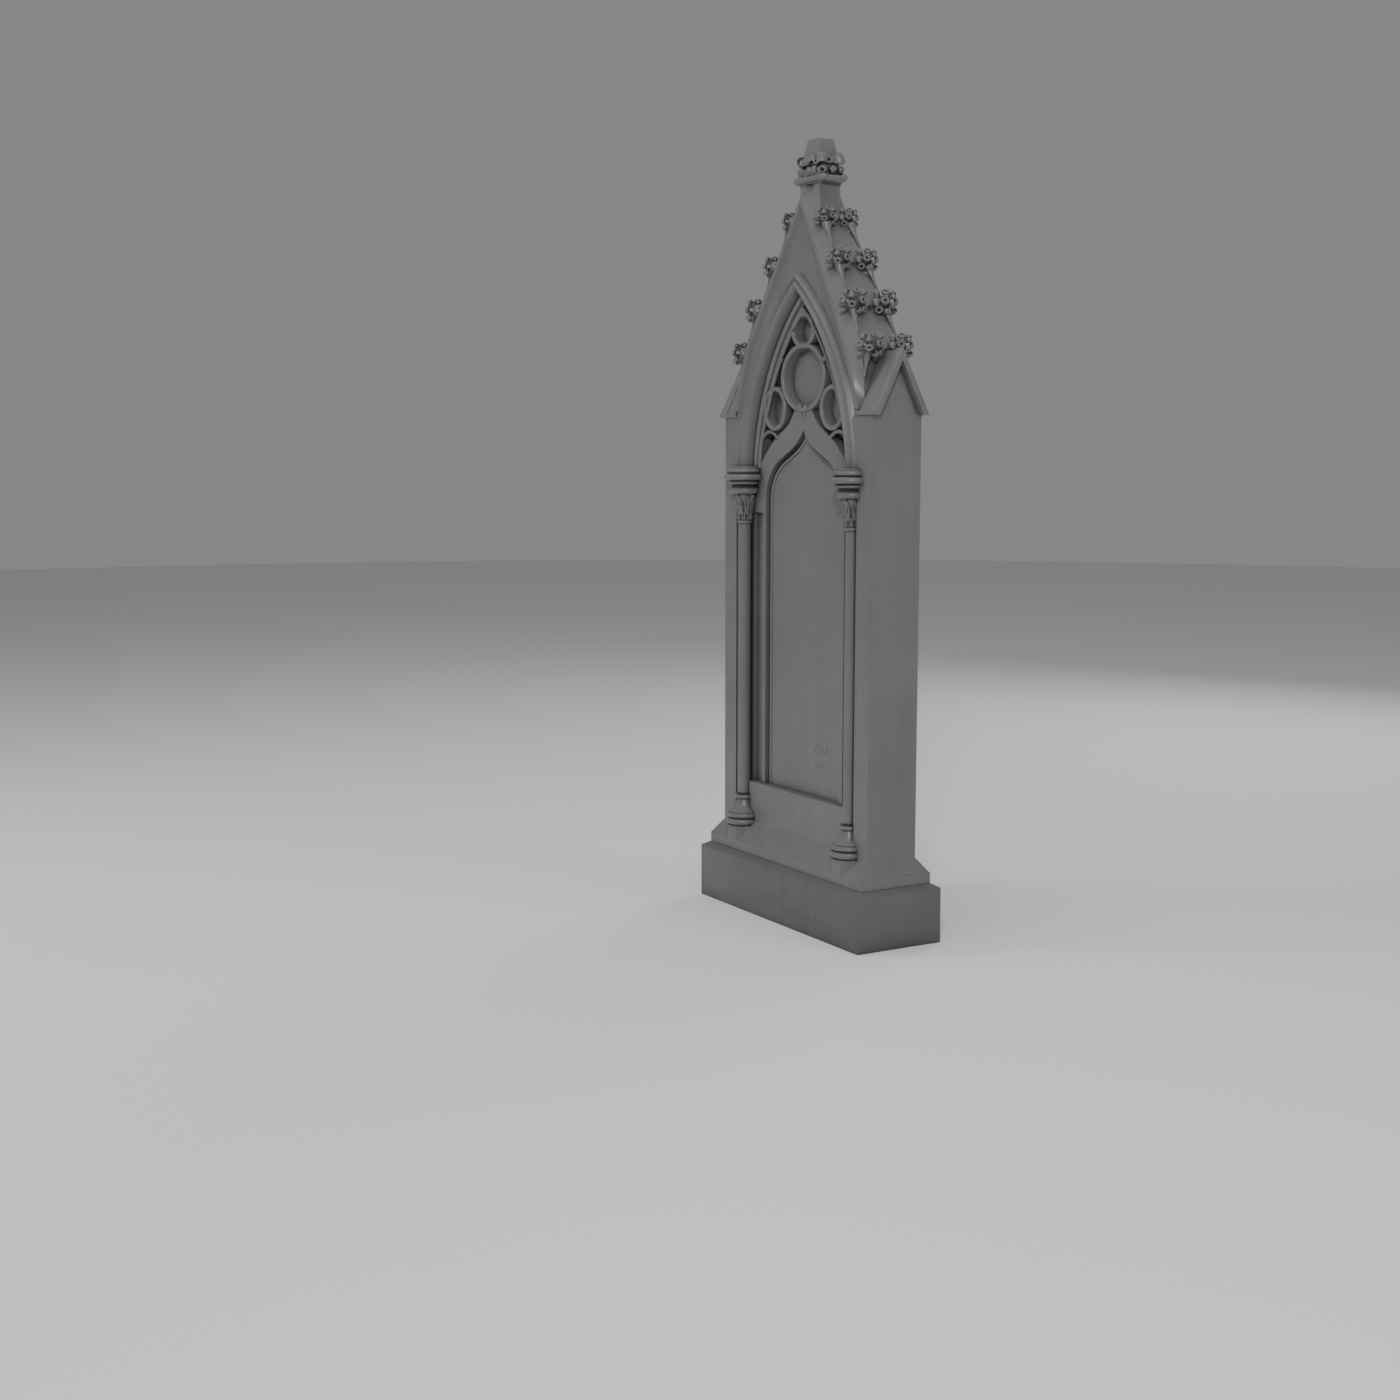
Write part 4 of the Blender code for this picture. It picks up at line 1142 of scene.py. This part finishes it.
band_tips = (
    (0.0470, 0.0000, 0.0100, (1.0, 0.0, -0.1), 0.0084),
    (0.0450, 0.0255, 0.0090, (0.7, 0.7, -0.2), 0.0104),
    (0.0240, 0.0300, 0.0110, (0.2, 1.0, -0.1), 0.0086),
    (0.0000, 0.0300, 0.0100, (0.0, 1.0, 0.0), 0.0080),
    (0.0445, 0.0080, 0.0310, (1.0, 0.2, 0.3), 0.0094),
    (0.0415, 0.0225, 0.0330, (0.7, 0.7, 0.4), 0.0128),
    (0.0250, 0.0275, 0.0290, (0.2, 1.0, 0.1), 0.0092),
    (0.0090, 0.0265, 0.0330, (-0.2, 1.0, 0.4), 0.0104),
)
band_eyes = (1, 4, 6)
for i, (x, y, lift, aim, size) in enumerate(band_tips):
    for side in ((-1, 1) if x else (1,)):
        for face in ((-1, 1) if y else (1,)):
            place = (side * x, face * y, leaves_foot + lift)
            facing = (side * aim[0], face * aim[1], aim[2])
            roll = 1.7 * i + 0.9 * side + 0.5 * face
            if i in band_eyes:
                lumps.append(leaf_eye(size * 1.05, place, facing))
            else:
                lumps.append(leaf_tip(size * 1.15, place, facing, roll))
leaves = blended(lumps, "leaf_band")
finish(leaves, carved_stone, angle=50.0)

# The floor is plain and pale, and the light is soft, as in a small studio.
# A small key light by the viewer makes the gleams on the stone. The broad lights in front, at the
# end, above and behind only fill it, and are kept out of the gleams.
bpy.ops.object.select_all(action="DESELECT")
bpy.ops.mesh.primitive_circle_add(vertices=96, radius=14.0, fill_type="NGON")
floor = bpy.context.object
floor.name = "floor"
floor_paint = bpy.data.materials.new("floor_paint")
floor_paint.use_nodes = True
floor_shader = floor_paint.node_tree.nodes["Principled BSDF"]
floor_shader.inputs["Base Color"].default_value = (0.80, 0.80, 0.80, 1.0)
floor_shader.inputs["Roughness"].default_value = 0.85
floor.data.materials.append(floor_paint)


def soft_light(name, place, aim, size, power, gleam=True):
    """A square soft light, turned to face a point, that may be kept out of the stone's gleams."""
    bpy.ops.object.light_add(type="AREA", location=place)
    light = bpy.context.object
    light.name = name
    light.data.size = size
    light.data.energy = power
    light.rotation_euler = (Vector(aim) - Vector(place)).to_track_quat("-Z", "Y").to_euler()
    light.visible_glossy = gleam


soft_light("key_light", (3.90, -2.85, 3.05), (0.0, 0.0, 1.0), 0.35, 98.0)
soft_light("fill_light", (-2.0, -3.8, 2.6), (0.0, 0.0, 0.9), 1.2, 60.0, False)
soft_light("side_light", (4.6, 1.7, 2.2), (0.0, 0.0, 0.9), 1.6, 42.0, False)
soft_light("top_light", (0.5, -0.9, 5.4), (0.0, 0.0, 0.0), 2.4, 92.0, False)
soft_light("back_light", (-1.8, 3.9, 2.6), (0.0, 0.0, 1.0), 2.0, 60.0, False)
world = bpy.data.worlds.new("studio")
world.use_nodes = True
surround = world.node_tree.nodes["Background"]
surround.inputs["Color"].default_value = (0.80, 0.80, 0.80, 1.0)
surround.inputs["Strength"].default_value = 0.31
bpy.context.scene.world = world
